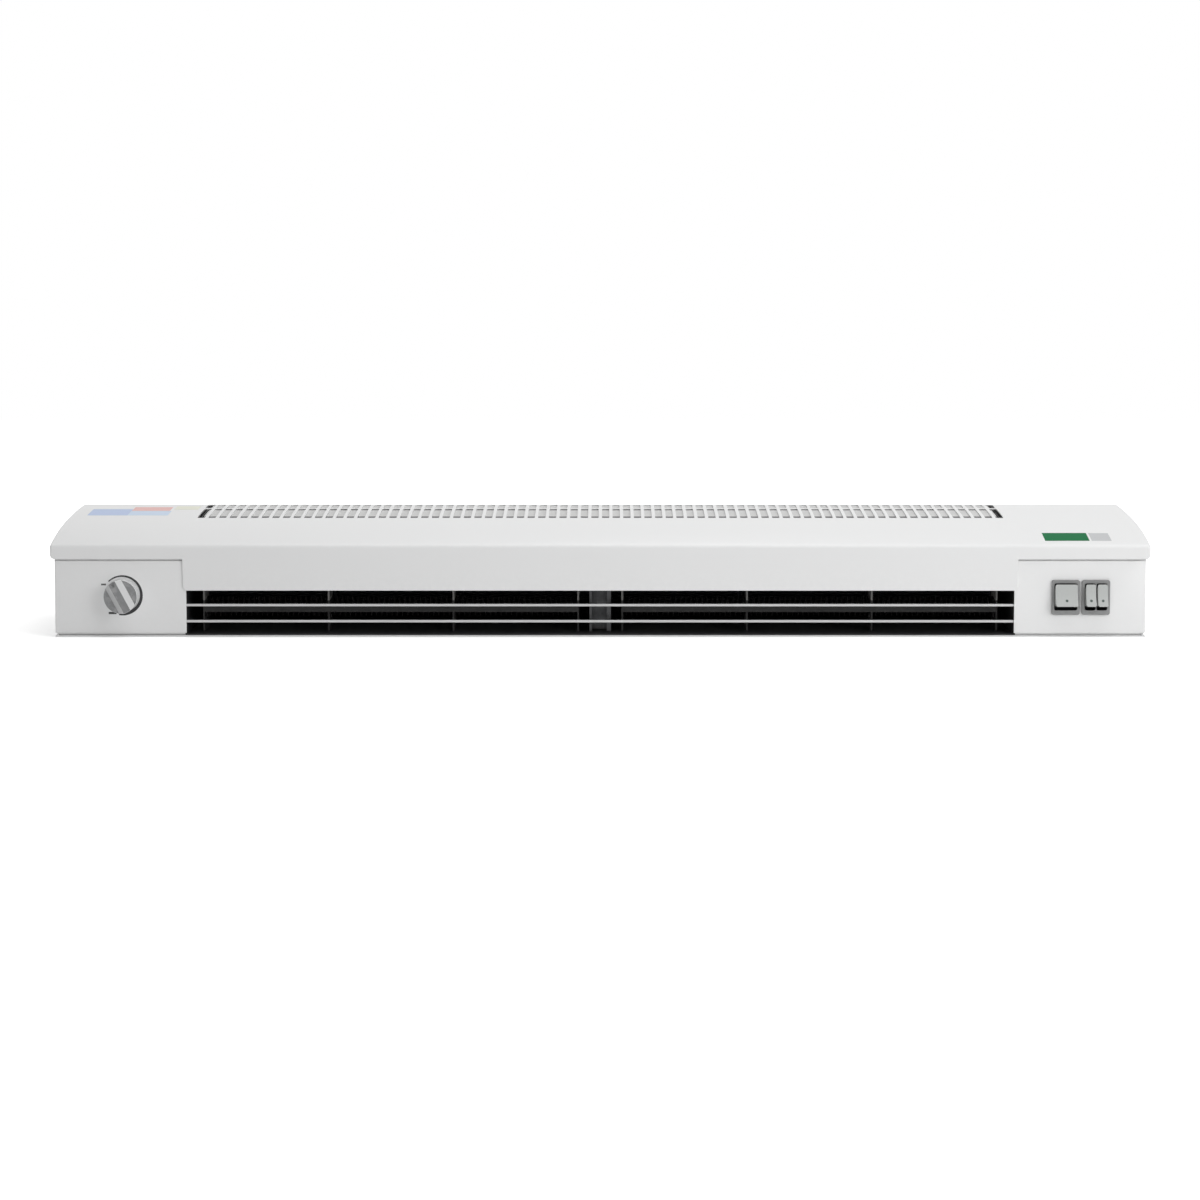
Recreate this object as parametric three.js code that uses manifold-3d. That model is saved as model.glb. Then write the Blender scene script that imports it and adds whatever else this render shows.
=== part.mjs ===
// Wall air curtain with an electric heater, one metre long, lying on its back plate.
// Millimetres. +X runs along the unit, to the right as seen from the outlet. +Y runs from the outlet side
// to the rear side, which is up when the unit hangs on a wall. +Z points away from the wall.
// The origin is the middle of the back plate's underside, halfway between the cover's front and rear.

import * as THREE from "three";
import { mergeVertices } from "three/addons/utils/BufferGeometryUtils.js";
import Module from "manifold-3d";

const wasm = await Module();
wasm.setup();

// ---------------------------------------------------------------- driving dimensions

// Fits
const SEAT = 0.3; // between pieces that rest on or fit into each other
const RUNNING = 0.15; // round a turning shaft, on the radius
const TOUCH = 0.8; // in front of a panel, under a piece that turns on it

// Casing
const COVER_LENGTH = 1000;
const COVER_DEPTH = 165;
const COVER_SHEET = 1;
const LIP_TOP = 81; // height of the cover's front crease above the wall
const LIP_HEIGHT = 10.3;
const FRONT_BEND = 4; // outside radius of the front crease
const FRONT_BEND_ANGLE = 72; // degrees that the sheet turns there
const ROOF_RISE = 25; // from the crease to the rear edge
const ROOF_CROWN_RISE = 20.5; // control point of the roof's curve
const ROOF_CROWN_FROM_FRONT = 55;
const REAR_BEND = 3;
const COVER_OVERHANG = 4; // of the cover past the body, at each end
const FORE_ROOF_CORNERS = 5; // of the faceted roof, between the front bend and the slots
const BODY_SHEET = 1;
const BASE_SHEET = 1.5;
const BASE_FLANGE = 18; // height of the back plate's turned-up ends
const BASE_REVEAL = 2.3; // open joint between the back plate and the end boxes
const WALL_UNDER_ROOF = 2; // inner walls end this far below the roof
const CONTROL_FACE = 119.5; // length of each end box's front
const FLANGE_LAP = 3.5; // cover's middle flange past the outlet, at each end
const FLANGE_CHAMFER = 3.5;

// Intake slots
const SLOT_COUNT = 76;
const SLOT_PITCH = 10;
const SLOT_WIDTH = 6.8;
const SLOTS_FROM_REAR = 5; // from the last slots to the cover's rear face
const FRONT_SLOT_LENGTH = 48.5;
const REAR_SLOT_LENGTH = 22;
const SLOT_ROW_GAP = 3.5;
const SKIN_COARSE_STEP = 16; // away from the slots, the skin's grid keeps one line in this many

// Wall fixing
const KEYHOLE_SPACING_X = 840;
const KEYHOLE_SPACING_Y = 90;
const KEYHOLE_HEAD = 5; // radius
const KEYHOLE_SLOT_WIDTH = 5;
const KEYHOLE_SLOT_LENGTH = 10;

// Outlet
const OUTLET_TOP = 42.7;
const DUCT_SHEET = 0.8;
const BULKHEAD_SHEET = 1.2;
const BULKHEAD_FOOT = 12;
const BLADE_CHORD = 15;
const BLADE_SHEET = 1;
const BLADE_NOSE = 1.2; // radius of the rolled front edge
const BLADE_TILT = 6; // degrees that a blade falls towards its rear
const BLADE_SETBACK = 2.5; // behind the cover's front
const UPPER_BLADE_HEIGHT = 29;
const LOWER_BLADE_HEIGHT = 14.2;
const BLADE_TAB = 3; // of a blade through its bulkhead
const COLUMN_WIDTH = 19.8;
const COLUMN_DEPTH = 17;
const COLUMN_SHEET = 1.2;
const COLUMN_LEFT_LIP = 2.4;
const COLUMN_RIGHT_LIP = 4;
const WEB_SHEET = 2; // centre bracket's plate behind the column

// Heater
const HEATER_SETBACK = 22; // from the cover's front
const HEATER_DEPTH = 30;
const HEATER_SUPPORT_SHEET = 1.6;
const FIRST_SUPPORT = 20.2; // from the middle of the unit
const LAST_SUPPORT = 13; // from the outlet's end
const SUPPORT_COUNT = 4;
const HEATER_RAIL_HEIGHT = 5;
const HEATER_RAIL_SHEET = 1;
const RIBBON_SHEET = 0.8;
const RIBBON_WIDTH = 8;
const RIBBON_SWING = 8; // to either side of its middle
const RIBBON_PITCH = 9.6;
const RIBBON_CLEARANCE = 0.8; // round the ribbon, in the supports' windows
const CUTOUT_RADIUS = 8;
const CUTOUT_THICKNESS = 6;
const CUTOUT_TAB_SHEET = 2;

// Fan
const FAN_FROM_REAR = 58.5; // its axis, from the cover's rear face
const FAN_HEIGHT = 52;
const ROTOR_RADIUS = 32;
const ROTOR_BLADES = 16;
const ROTOR_BLADE_DEPTH = 9;
const ROTOR_BLADE_SHEET = 0.8;
const ROTOR_BLADE_BOW = 2;
const ROTOR_DISC = 1.5;
const ROTOR_HUB_RADIUS = 8;
const ROTOR_HUB_LENGTH = 12;
const ROTOR_END_GAP = 6; // to a bulkhead
const ROTOR_MIDDLE_GAP = 9; // from the middle of the unit
const SHAFT_RADIUS = 4;
const BEARING_RADIUS = 8;
const BEARING_LENGTH = 8;
const BEARING_WALL = 3; // of the rubber ring or boss round a bearing
const SCROLL_GAP = 4; // narrowest, round the rotor
const SCROLL_END_ANGLE = 35; // degrees above the fan's axis, on the rear side
const TONGUE_GAP = 3.5;
const TONGUE_LOW_ANGLE = 190;
const TONGUE_HIGH_ANGLE = 150;
const FRONT_FLANGE = 14; // stabiliser's turned-up front edge
const SCROLL_STEPS = 12;
const SCROLL_MOUTH_SLOPE = 0.8; // rise over run, from the spiral's end to the rear wall
const ROTOR_BAND_LAP = 1; // of the rotor's middle band behind its blades' roots

// Motor
const MOTOR_RADIUS = 36;
const MOTOR_LENGTH = 58;
const MOTOR_NOSE_RADIUS = 13;
const MOTOR_NOSE_LENGTH = 7;
const MOTOR_FROM_BULKHEAD = 28; // to the can's shoulder
const MOTOR_CAP_DEPTH = 12;
const MOTOR_BRACKET_SHEET = 2;
const MOTOR_BRACKET_WIDTH = 60;
const MOTOR_FOOT = 16;
const COUPLING_RADIUS = 11;
const COUPLING_LENGTH = 12;
const SHAFT_OPENING_CLEARANCE = 2; // round the coupling, in the left bulkhead
const MOTOR_BORE_SPARE = 2; // past the shaft's end

// Knob and thermostat
const KNOB_FROM_END = 61.6; // from the body's left end
const KNOB_HEIGHT_ON_FACE = 38.2;
const KNOB_RADIUS = 15.2;
const KNOB_SHOULDER = 12; // height of the round part under the grip, above the panel
const KNOB_PROJECTION = 16.5;
const KNOB_RECESS_RADIUS = 10;
const KNOB_RECESS_DEPTH = 3;
const KNOB_CROWN = 3.2; // thickness over the spindle
const GRIP_TOP_WIDTH = 7;
const GRIP_ROOT_WIDTH = 16.6;
const POINTER_TILT = 28; // degrees to the left of straight up
const POINTER_NOTCH = 1.6;
const THERMOSTAT_SIZE = 32;
const THERMOSTAT_DEPTH = 24;
const NECK_RADIUS = 5;
const NECK_LENGTH = 4.5;
const NUT_RADIUS = 8.5;
const NUT_THICKNESS = 2.4;
const SPINDLE_RADIUS = 3;
const BULB_RADIUS = 3;
const BULB_LENGTH = 70;

// Switches
const SWITCH_FROM_END = 73; // single switch, from the body's right end
const SWITCH_PITCH = 27.4;
const SWITCH_HEIGHT_ON_FACE = 36.6;
const BEZEL_WIDTH = 25.5;
const BEZEL_HEIGHT = 31.9;
const BEZEL_PROJECTION = 2.5;
const SWITCH_BODY_WIDTH = 22.4;
const SWITCH_BODY_HEIGHT = 29;
const SWITCH_BODY_DEPTH = 24;
const SINGLE_ROCKER_WIDTH = 20;
const DOUBLE_ROCKER_WIDTH = 9;
const ROCKER_DIVIDER = 1;
const ROCKER_HALF_HEIGHT = 10.6;
const ROCKER_PROUD = 4.6; // of the bezel, at either end, halfway through its travel
const ROCKER_VALLEY = 1.8; // depth of its hollow face
const ROCKER_THROW = 15; // degrees either side of the halfway position
const PIVOT_DEPTH = 3; // behind the bezel's front
const PIVOT_RADIUS = 1.2;
const ROCKER_BACK = 3.5; // behind the pivot
const ROCKER_END_TURN = 20; // degrees of rounding at either end

// Electrical fittings, in the right end box
const TERMINAL_LENGTH = 48;
const TERMINAL_WIDTH = 18;
const TERMINAL_HEIGHT = 16;
const TERMINAL_WAYS = 5;
const TERMINAL_FROM_REAR = 35; // its middle, from the rear wall
const FITTING_SPACING = 4; // least gap between neighbouring fittings
const RELAY_LENGTH = 30;
const RELAY_WIDTH = 26;
const RELAY_HEIGHT = 34;
const RELAY_FOOT_REACH = 5;
const RELAY_FOOT_SHEET = 3;
const RELAY_BEFORE_FAN = 38; // its middle, from the fan's axis
const CAPACITOR_RADIUS = 12;
const CAPACITOR_LENGTH = 45;
const CAPACITOR_CAP_STEP = 2;
const CAPACITOR_CAP_HEIGHT = 3;
const GLAND_RADIUS = 9;
const GLAND_FLANGE_RADIUS = 12.5;
const GLAND_FLANGE = 5;
const GLAND_BORE = 5;
const GLAND_NUT_RADIUS = 13.5;
const GLAND_NUT_THICKNESS = 6;
const GLAND_THREAD_SPARE = 2; // past the nut
const GLAND_FROM_END = 40;
const GLAND_HEIGHT = 34;
const EARTH_STUD_RADIUS = 2.5;
const EARTH_STUD_LENGTH = 14;
const EARTH_STUD_FROM_TERMINAL = 12;
const EARTH_NUT_RADIUS = 4.6;
const EARTH_NUT_THICKNESS = 3.2;
const LOOM_RADIUS = 3.5;

// Facets in half a round
const COARSE = 6;
const MEDIUM = 12;
const FINE = 16;
const KNOB_FINE = 24;

// Screws
const SCREW_RADIUS = 2;
const SCREW_LENGTH = 7;
const SCREW_HEAD_RADIUS = 3.8;
const SCREW_HEAD_HEIGHT = 2.2;
const COVER_SCREW_HEIGHT = 78;
const INNER_SCREW_FROM_MIDDLE = 190;
const OUTER_SCREW_FROM_END = 60;
const BOX_SCREW_HEIGHT = 10;
const BOX_SCREW_FROM_MIDDLE = 45; // along Y, from the middle of the depth

// ---------------------------------------------------------------- derived places

const FRONT = -COVER_DEPTH / 2;
const REAR = COVER_DEPTH / 2;
const COVER_END = COVER_LENGTH / 2;
const LIP_BOTTOM = LIP_TOP - LIP_HEIGHT;
const ROOF_TOP = LIP_TOP + ROOF_RISE;
const BODY_END = COVER_END - COVER_OVERHANG;
const BODY_FRONT = FRONT + COVER_SHEET + SEAT;
const BODY_REAR = REAR - COVER_SHEET - SEAT;
const REAR_WALL_FACE = BODY_REAR - BASE_SHEET; // inner face of the rear wall
const PANEL_BACK = BODY_FRONT + BODY_SHEET;
const FLOOR = BASE_SHEET + SEAT; // underside of what stands on the back plate
const OUTLET_END = BODY_END - CONTROL_FACE; // half the outlet's length
const DUCT_END = OUTLET_END - SEAT;
const BULKHEAD_FAR = OUTLET_END + BULKHEAD_SHEET; // its face on the compartment side
const DUCT_FLOOR = FLOOR + DUCT_SHEET;
const FAN_Y = REAR - FAN_FROM_REAR;
const BLADE_FRONT = FRONT + BLADE_SETBACK;
const BLADE_REAR = BLADE_FRONT + BLADE_CHORD;
const COLUMN_FRONT = BLADE_REAR + SEAT;
const COLUMN_REAR = COLUMN_FRONT + COLUMN_DEPTH;
const HEATER_FRONT = FRONT + HEATER_SETBACK;
const HEATER_REAR = HEATER_FRONT + HEATER_DEPTH;
const ROTOR_OUTER_END = OUTLET_END - ROTOR_END_GAP;
const REAR_SLOT_END = REAR - SLOTS_FROM_REAR;
const REAR_SLOT_START = REAR_SLOT_END - REAR_SLOT_LENGTH;
const FRONT_SLOT_END = REAR_SLOT_START - SLOT_ROW_GAP;
const FRONT_SLOT_START = FRONT_SLOT_END - FRONT_SLOT_LENGTH;
const ROCKER_REACH = Math.hypot(PIVOT_DEPTH + ROCKER_PROUD, ROCKER_HALF_HEIGHT); // pivot to corner
const KNOB_X = -BODY_END + KNOB_FROM_END;
const SINGLE_SWITCH_X = BODY_END - SWITCH_FROM_END;
const DOUBLE_SWITCH_X = SINGLE_SWITCH_X + SWITCH_PITCH;

// ---------------------------------------------------------------- finishes

const finish = (color, roughness, metalness) => ({ color, roughness, metalness });
const WHITE_PAINT = finish(0xe9eaea, 0.42, 0);
const GALVANISED = finish(0x9a9c9e, 0.45, 0.8);
const BLADE_PAINT = finish(0xd2d4d4, 0.4, 0);
const DARK_DUCT = finish(0x26282a, 0.6, 0.4);
const ALUMINIUM = finish(0xb6b9bc, 0.35, 0.9);
const STEEL = finish(0x8d9093, 0.35, 0.9);
const BRASS = finish(0xb08d4a, 0.35, 0.9);
const MICA = finish(0xc9c2ae, 0.7, 0);
const HEATING_ALLOY = finish(0x5b5e60, 0.5, 0.8);
const SILVER_PLASTIC = finish(0x8f9192, 0.4, 0.2);
const SWITCH_GREY = finish(0x8b8c8c, 0.45, 0);
const ROCKER_GREY = finish(0xb7bbb9, 0.35, 0);
const BLACK_PLASTIC = finish(0x1d1e20, 0.5, 0);
const WHITE_PLASTIC = finish(0xdedfdd, 0.5, 0);
const RUBBER = finish(0x202122, 0.85, 0);
const MOTOR_STEEL = finish(0x3c3f43, 0.5, 0.6);
const COPPER_TUBE = finish(0xa8633f, 0.4, 0.9);

// ---------------------------------------------------------------- shapes

const X_AXIS = new THREE.Vector3(1, 0, 0);
const Y_AXIS = new THREE.Vector3(0, 1, 0);
const Z_AXIS = new THREE.Vector3(0, 0, 1);
const radians = THREE.MathUtils.degToRad;
const at = (a, b) => new THREE.Vector2(a, b);

function solidOf(geometry) {
  const bare = geometry.clone();
  bare.deleteAttribute("normal");
  bare.deleteAttribute("uv");
  const merged = mergeVertices(bare, 1e-4);
  return new wasm.Manifold(
    new wasm.Mesh({
      numProp: 3,
      vertProperties: merged.getAttribute("position").array,
      triVerts: new Uint32Array(merged.index.array),
    }),
  );
}

function geometryOf(solid) {
  const mesh = solid.getMesh();
  const geometry = new THREE.BufferGeometry();
  geometry.setAttribute("position", new THREE.BufferAttribute(mesh.vertProperties, 3));
  geometry.setIndex(new THREE.BufferAttribute(mesh.triVerts, 1));
  geometry.computeVertexNormals();
  return geometry;
}

function join(...geometries) {
  return geometryOf(geometries.map(solidOf).reduce((whole, piece) => whole.add(piece)));
}

function cut(geometry, ...tools) {
  const tool = tools.map(solidOf).reduce((whole, piece) => whole.add(piece));
  return geometryOf(solidOf(geometry).subtract(tool));
}

function common(geometry, other) {
  return geometryOf(solidOf(geometry).intersect(solidOf(other)));
}

// A box between two corners.
function box(low, high) {
  const size = high.map((value, axis) => value - low[axis]);
  const middle = high.map((value, axis) => (value + low[axis]) / 2);
  return new THREE.BoxGeometry(...size).translate(...middle);
}

// A shape drawn in (Y, Z), from one X to another.
function alongX(shape, from, to, curveSegments = MEDIUM) {
  const settings = { depth: to - from, bevelEnabled: false, curveSegments };
  const turn = new THREE.Matrix4().makeBasis(Y_AXIS, Z_AXIS, X_AXIS);
  return new THREE.ExtrudeGeometry(shape, settings).applyMatrix4(turn).translate(from, 0, 0);
}

// A shape drawn in (X, Z), from one Y to another.
function alongY(shape, from, to, curveSegments = MEDIUM) {
  const settings = { depth: to - from, bevelEnabled: false, curveSegments };
  const turn = new THREE.Matrix4().makeBasis(X_AXIS, Z_AXIS, Y_AXIS.clone().negate());
  return new THREE.ExtrudeGeometry(shape, settings).applyMatrix4(turn).translate(0, to, 0);
}

// A shape drawn in (X, Y), from one Z to another.
function alongZ(shape, from, to, curveSegments = MEDIUM) {
  const settings = { depth: to - from, bevelEnabled: false, curveSegments };
  return new THREE.ExtrudeGeometry(shape, settings).translate(0, 0, from);
}

function polygon(points) {
  return new THREE.Shape(points);
}

function rectangle(width, height, middle = at(0, 0)) {
  return polygon([
    at(middle.x - width / 2, middle.y - height / 2),
    at(middle.x + width / 2, middle.y - height / 2),
    at(middle.x + width / 2, middle.y + height / 2),
    at(middle.x - width / 2, middle.y + height / 2),
  ]);
}

function circle(radius, middle = at(0, 0)) {
  return new THREE.Shape().absarc(middle.x, middle.y, radius, 0, 2 * Math.PI);
}

function ring(outer, inner, middle = at(0, 0)) {
  const shape = circle(outer, middle);
  shape.holes.push(circle(inner, middle));
  return shape;
}

function hexagon(radius, middle = at(0, 0)) {
  const corner = (i) => at(Math.cos((i * Math.PI) / 3), Math.sin((i * Math.PI) / 3));
  return polygon(Array.from({ length: 6 }, (_, i) => corner(i).multiplyScalar(radius).add(middle)));
}

// The path moved to its left by a distance, with mitred corners.
function offsetPath(path, distance) {
  const left = (from, to) => at(from.y - to.y, to.x - from.x).normalize();
  return path.map((point, i) => {
    const before = left(path[Math.max(i, 1) - 1], path[Math.max(i, 1)]);
    const after = left(path[Math.min(i, path.length - 2)], path[Math.min(i, path.length - 2) + 1]);
    const mitre = before.clone().add(after).normalize();
    return mitre.multiplyScalar(distance / mitre.dot(before)).add(point);
  });
}

// A bent sheet: its path, and its thickness to the left of the path.
function sheet(path, thickness) {
  return polygon([...path, ...offsetPath(path, thickness).reverse()]);
}

function arc(middle, radius, fromDegrees, toDegrees, steps) {
  return Array.from({ length: steps + 1 }, (_, i) => {
    const angle = radians(THREE.MathUtils.lerp(fromDegrees, toDegrees, i / steps));
    return at(middle.x + radius * Math.cos(angle), middle.y + radius * Math.sin(angle));
  });
}

function mesh(name, geometry, look) {
  const piece = new THREE.Mesh(geometry, new THREE.MeshStandardMaterial(look));
  piece.name = name;
  return piece;
}

function mirrored(geometry) {
  const flipped = solidOf(geometry).mirror([1, 0, 0]);
  return geometryOf(flipped);
}

// ---------------------------------------------------------------- roof curve

const FRONT_BEND_MIDDLE = at(FRONT + FRONT_BEND, LIP_TOP);
const FRONT_BEND_ARC = arc(FRONT_BEND_MIDDLE, FRONT_BEND, 180, 180 - FRONT_BEND_ANGLE, 4);
const ROOF = new THREE.QuadraticBezierCurve(
  FRONT_BEND_ARC.at(-1),
  at(FRONT + ROOF_CROWN_FROM_FRONT, LIP_TOP + ROOF_CROWN_RISE),
  at(REAR - REAR_BEND, ROOF_TOP),
);

// The point of the roof's curve at a given Y.
function roofPoint(y) {
  const bend = ROOF.v0.x - 2 * ROOF.v1.x + ROOF.v2.x;
  const run = 2 * (ROOF.v1.x - ROOF.v0.x);
  const t = (2 * (y - ROOF.v0.x)) / (run + Math.sqrt(run * run + 4 * bend * (y - ROOF.v0.x)));
  return at(y, ROOF.getPoint(t).y);
}

// Points just below the roof, from one Y to another.
function underRoof(from, to, clearance, steps = 8) {
  return Array.from({ length: steps + 1 }, (_, i) => {
    const point = roofPoint(THREE.MathUtils.lerp(from, to, i / steps));
    return at(point.x, point.y - COVER_SHEET - clearance);
  });
}

// The cover in section, from the lip's lower edge over the roof to the rear edge. An inset of zero gives its
// outside, and the sheet's thickness its inside. Its corners lie on the slots' ends.
function coverPath(inset) {
  const foreRoof = Array.from({ length: FORE_ROOF_CORNERS }, (_, i) =>
    THREE.MathUtils.lerp(ROOF.v0.x, FRONT_SLOT_START, (i + 1) / (FORE_ROOF_CORNERS + 1)),
  );
  const rows = [
    FRONT_SLOT_START,
    (FRONT_SLOT_START + FRONT_SLOT_END) / 2,
    FRONT_SLOT_END,
    REAR_SLOT_START,
    REAR_SLOT_END,
  ];
  return [
    at(FRONT + inset, LIP_BOTTOM),
    ...arc(FRONT_BEND_MIDDLE, FRONT_BEND - inset, 180, 180 - FRONT_BEND_ANGLE, 4),
    ...[...foreRoof, ...rows].map((y) => at(y, roofPoint(y).y - inset)),
    ...arc(at(REAR - REAR_BEND, ROOF_TOP - REAR_BEND), REAR_BEND - inset, 90, 0, 3),
    at(REAR - inset, LIP_BOTTOM),
  ];
}

// ---------------------------------------------------------------- casing

// The cover's skin, from one end to the other. It is a grid: rows of cells follow the section, and the slots
// are cells left open. Each cell edge on an opening or on the skin's border gets a wall.
function coverSkin() {
  const outside = coverPath(0);
  const inside = coverPath(COVER_SHEET);
  const last = outside.length - 1;
  const slotMiddles = Array.from({ length: SLOT_COUNT }, (_, i) => (i - (SLOT_COUNT - 1) / 2) * SLOT_PITCH);
  const slotSides = slotMiddles.flatMap((x) => [x - SLOT_WIDTH / 2, x + SLOT_WIDTH / 2]);
  const fine = [-COVER_END, ...slotSides, COVER_END];
  const coarse = fine.filter((_, i) => i % SKIN_COARSE_STEP === 0 || i === fine.length - 1);
  const rowAt = (y) => outside.findIndex((point) => point.x === y);
  const slotRows = [
    [rowAt(FRONT_SLOT_START), rowAt(FRONT_SLOT_END)],
    [rowAt(REAR_SLOT_START), rowAt(REAR_SLOT_END)],
  ];
  const nearSlots = (row) => row >= slotRows[0][0] && row <= slotRows[1][1];
  const slotted = (row) => slotRows.some(([from, to]) => row >= from && row < to);
  const positions = [];
  const triangle = (...corners) => corners.forEach(([x, point]) => positions.push(x, point.x, point.y));
  const quad = (a, b, c, d) => {
    triangle(a, b, c);
    triangle(a, c, d);
  };
  const both = (draw) => {
    draw(outside, (...corners) => triangle(...corners));
    draw(inside, (...corners) => triangle(...corners.reverse()));
  };
  const acrossWall = (x, row, facesRight) => {
    const corners = [
      [x, outside[row]],
      [x, inside[row]],
      [x, inside[row + 1]],
      [x, outside[row + 1]],
    ];
    quad(...(facesRight ? corners : corners.reverse()));
  };
  const alongWall = (from, to, row, facesOn) => {
    const corners = [
      [from, outside[row]],
      [to, outside[row]],
      [to, inside[row]],
      [from, inside[row]],
    ];
    quad(...(facesOn ? corners : corners.reverse()));
  };
  for (let row = 0; row < last; row++) {
    if (slotted(row)) {
      for (let i = 0; i < fine.length; i += 2) {
        both((path, add) => {
          add([fine[i], path[row]], [fine[i + 1], path[row]], [fine[i + 1], path[row + 1]]);
          add([fine[i], path[row]], [fine[i + 1], path[row + 1]], [fine[i], path[row + 1]]);
        });
      }
      slotSides.forEach((x, i) => acrossWall(x, row, i % 2 === 0));
    } else {
      const near = nearSlots(row) ? fine : coarse;
      const far = nearSlots(row + 1) ? fine : coarse;
      both((path, add) => joinRows(near, far, path[row], path[row + 1], add));
    }
    acrossWall(COVER_END, row, true);
    acrossWall(-COVER_END, row, false);
  }
  slotRows.forEach(([from, to]) =>
    slotMiddles.forEach((_, i) => {
      alongWall(slotSides[2 * i], slotSides[2 * i + 1], from, true);
      alongWall(slotSides[2 * i], slotSides[2 * i + 1], to, false);
    }),
  );
  coarse.slice(1).forEach((x, i) => {
    alongWall(coarse[i], x, 0, false);
    alongWall(coarse[i], x, last, true);
  });
  return new THREE.BufferGeometry().setAttribute("position", new THREE.Float32BufferAttribute(positions, 3));
}

// Triangles between two rows of points that share their first and last X.
function joinRows(near, far, nearPoint, farPoint, add) {
  let i = 0;
  let j = 0;
  while (i < near.length - 1 || j < far.length - 1) {
    const stepNear = j === far.length - 1 || (i < near.length - 1 && near[i + 1] <= far[j + 1]);
    if (stepNear) {
      add([near[i], nearPoint], [near[i + 1], nearPoint], [far[j], farPoint]);
      i++;
    } else {
      add([near[i], nearPoint], [far[j + 1], farPoint], [far[j], farPoint]);
      j++;
    }
  }
}

function screwPoints() {
  return [INNER_SCREW_FROM_MIDDLE, COVER_END - OUTER_SCREW_FROM_END].flatMap((x) => [-x, x]);
}

function frontCover() {
  const cheek = alongX(polygon(coverPath(0)), COVER_END - COVER_SHEET, COVER_END);
  const flangeEnd = OUTLET_END + FLANGE_LAP;
  const flange = alongY(
    polygon([
      at(-flangeEnd, LIP_BOTTOM + COVER_SHEET),
      at(-flangeEnd, OUTLET_TOP + FLANGE_CHAMFER),
      at(-flangeEnd + FLANGE_CHAMFER, OUTLET_TOP),
      at(flangeEnd - FLANGE_CHAMFER, OUTLET_TOP),
      at(flangeEnd, OUTLET_TOP + FLANGE_CHAMFER),
      at(flangeEnd, LIP_BOTTOM + COVER_SHEET),
    ]),
    FRONT,
    FRONT + COVER_SHEET,
  );
  const screwHoles = screwPoints().map((x) => {
    const shape = circle(SCREW_RADIUS + SEAT, at(x, COVER_SCREW_HEIGHT));
    return alongY(shape, REAR - 2 * COVER_SHEET, REAR + SEAT, COARSE);
  });
  const whole = join(coverSkin(), cheek, mirrored(cheek), flange);
  return mesh("front_cover", cut(whole, ...screwHoles), WHITE_PAINT);
}

function keyholeTools() {
  const places = [-1, 1].flatMap((sideX) =>
    [-1, 1].map((sideY) => at((sideX * KEYHOLE_SPACING_X) / 2, (sideY * KEYHOLE_SPACING_Y) / 2)),
  );
  return places.flatMap((place) => {
    const slotEnd = at(place.x, place.y + KEYHOLE_SLOT_LENGTH);
    const slotMiddle = at(place.x, place.y + KEYHOLE_SLOT_LENGTH / 2);
    return [
      alongZ(circle(KEYHOLE_HEAD, place), -SEAT, FLOOR),
      alongZ(circle(KEYHOLE_SLOT_WIDTH / 2, slotEnd), -SEAT, FLOOR, COARSE),
      alongZ(rectangle(KEYHOLE_SLOT_WIDTH, KEYHOLE_SLOT_LENGTH, slotMiddle), -SEAT, FLOOR),
    ];
  });
}

function backPlate() {
  const wallTop = roofPoint(BODY_REAR - REAR_BEND).y - COVER_SHEET - WALL_UNDER_ROOF;
  const base = box([-BODY_END, BODY_FRONT, 0], [BODY_END, BODY_REAR, BASE_SHEET]);
  const rearWall = box([-BODY_END, REAR_WALL_FACE, 0], [BODY_END, BODY_REAR, wallTop]);
  const endInset = BODY_END - BODY_SHEET - SEAT;
  const endFlange = box(
    [endInset - BASE_SHEET, PANEL_BACK + SEAT, 0],
    [endInset, REAR_WALL_FACE + SEAT, BASE_FLANGE],
  );
  const throughRear = (shape, facets) => alongY(shape, REAR_WALL_FACE - SEAT, BODY_REAR + SEAT, facets);
  const coverScrewHoles = screwPoints().map((x) =>
    throughRear(circle(SCREW_RADIUS + SEAT, at(x, COVER_SCREW_HEIGHT)), COARSE),
  );
  const boxScrewHoles = [-1, 1].flatMap((side) =>
    [-1, 1].map((end) => {
      const place = at(side * BOX_SCREW_FROM_MIDDLE, BOX_SCREW_HEIGHT);
      const depth = [endInset - BASE_SHEET - SEAT, endInset + SEAT];
      return end > 0
        ? alongX(circle(SCREW_RADIUS + SEAT, place), ...depth, COARSE)
        : alongX(circle(SCREW_RADIUS + SEAT, place), -depth[1], -depth[0], COARSE);
    }),
  );
  const glandPlace = at(BODY_END - GLAND_FROM_END, GLAND_HEIGHT);
  const glandHole = throughRear(circle(GLAND_RADIUS + SEAT, glandPlace), MEDIUM);
  const whole = join(base, rearWall, endFlange, mirrored(endFlange));
  const cuts = [...keyholeTools(), ...coverScrewHoles, ...boxScrewHoles, glandHole];
  return mesh("back_plate", cut(whole, ...cuts), WHITE_PAINT);
}

// The right-hand end box: a control face in front, and an outer side wall that follows the roof.
function endBox() {
  const low = BASE_SHEET + BASE_REVEAL;
  const top = LIP_TOP - WALL_UNDER_ROOF;
  const face = box([OUTLET_END, BODY_FRONT, low], [BODY_END, PANEL_BACK, top]);
  const rear = REAR_WALL_FACE - SEAT;
  const wallTop = underRoof(PANEL_BACK + FRONT_BEND, rear, WALL_UNDER_ROOF);
  const outline = [at(BODY_FRONT, low), at(BODY_FRONT, top), ...wallTop, at(rear, low)];
  const wall = alongX(polygon(outline), BODY_END - BODY_SHEET, BODY_END);
  const screwHoles = [-1, 1].map((side) =>
    alongX(
      circle(SCREW_RADIUS + SEAT, at(side * BOX_SCREW_FROM_MIDDLE, BOX_SCREW_HEIGHT)),
      BODY_END - BODY_SHEET - SEAT,
      BODY_END + SEAT,
      COARSE,
    ),
  );
  return cut(join(face, wall), ...screwHoles);
}

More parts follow.
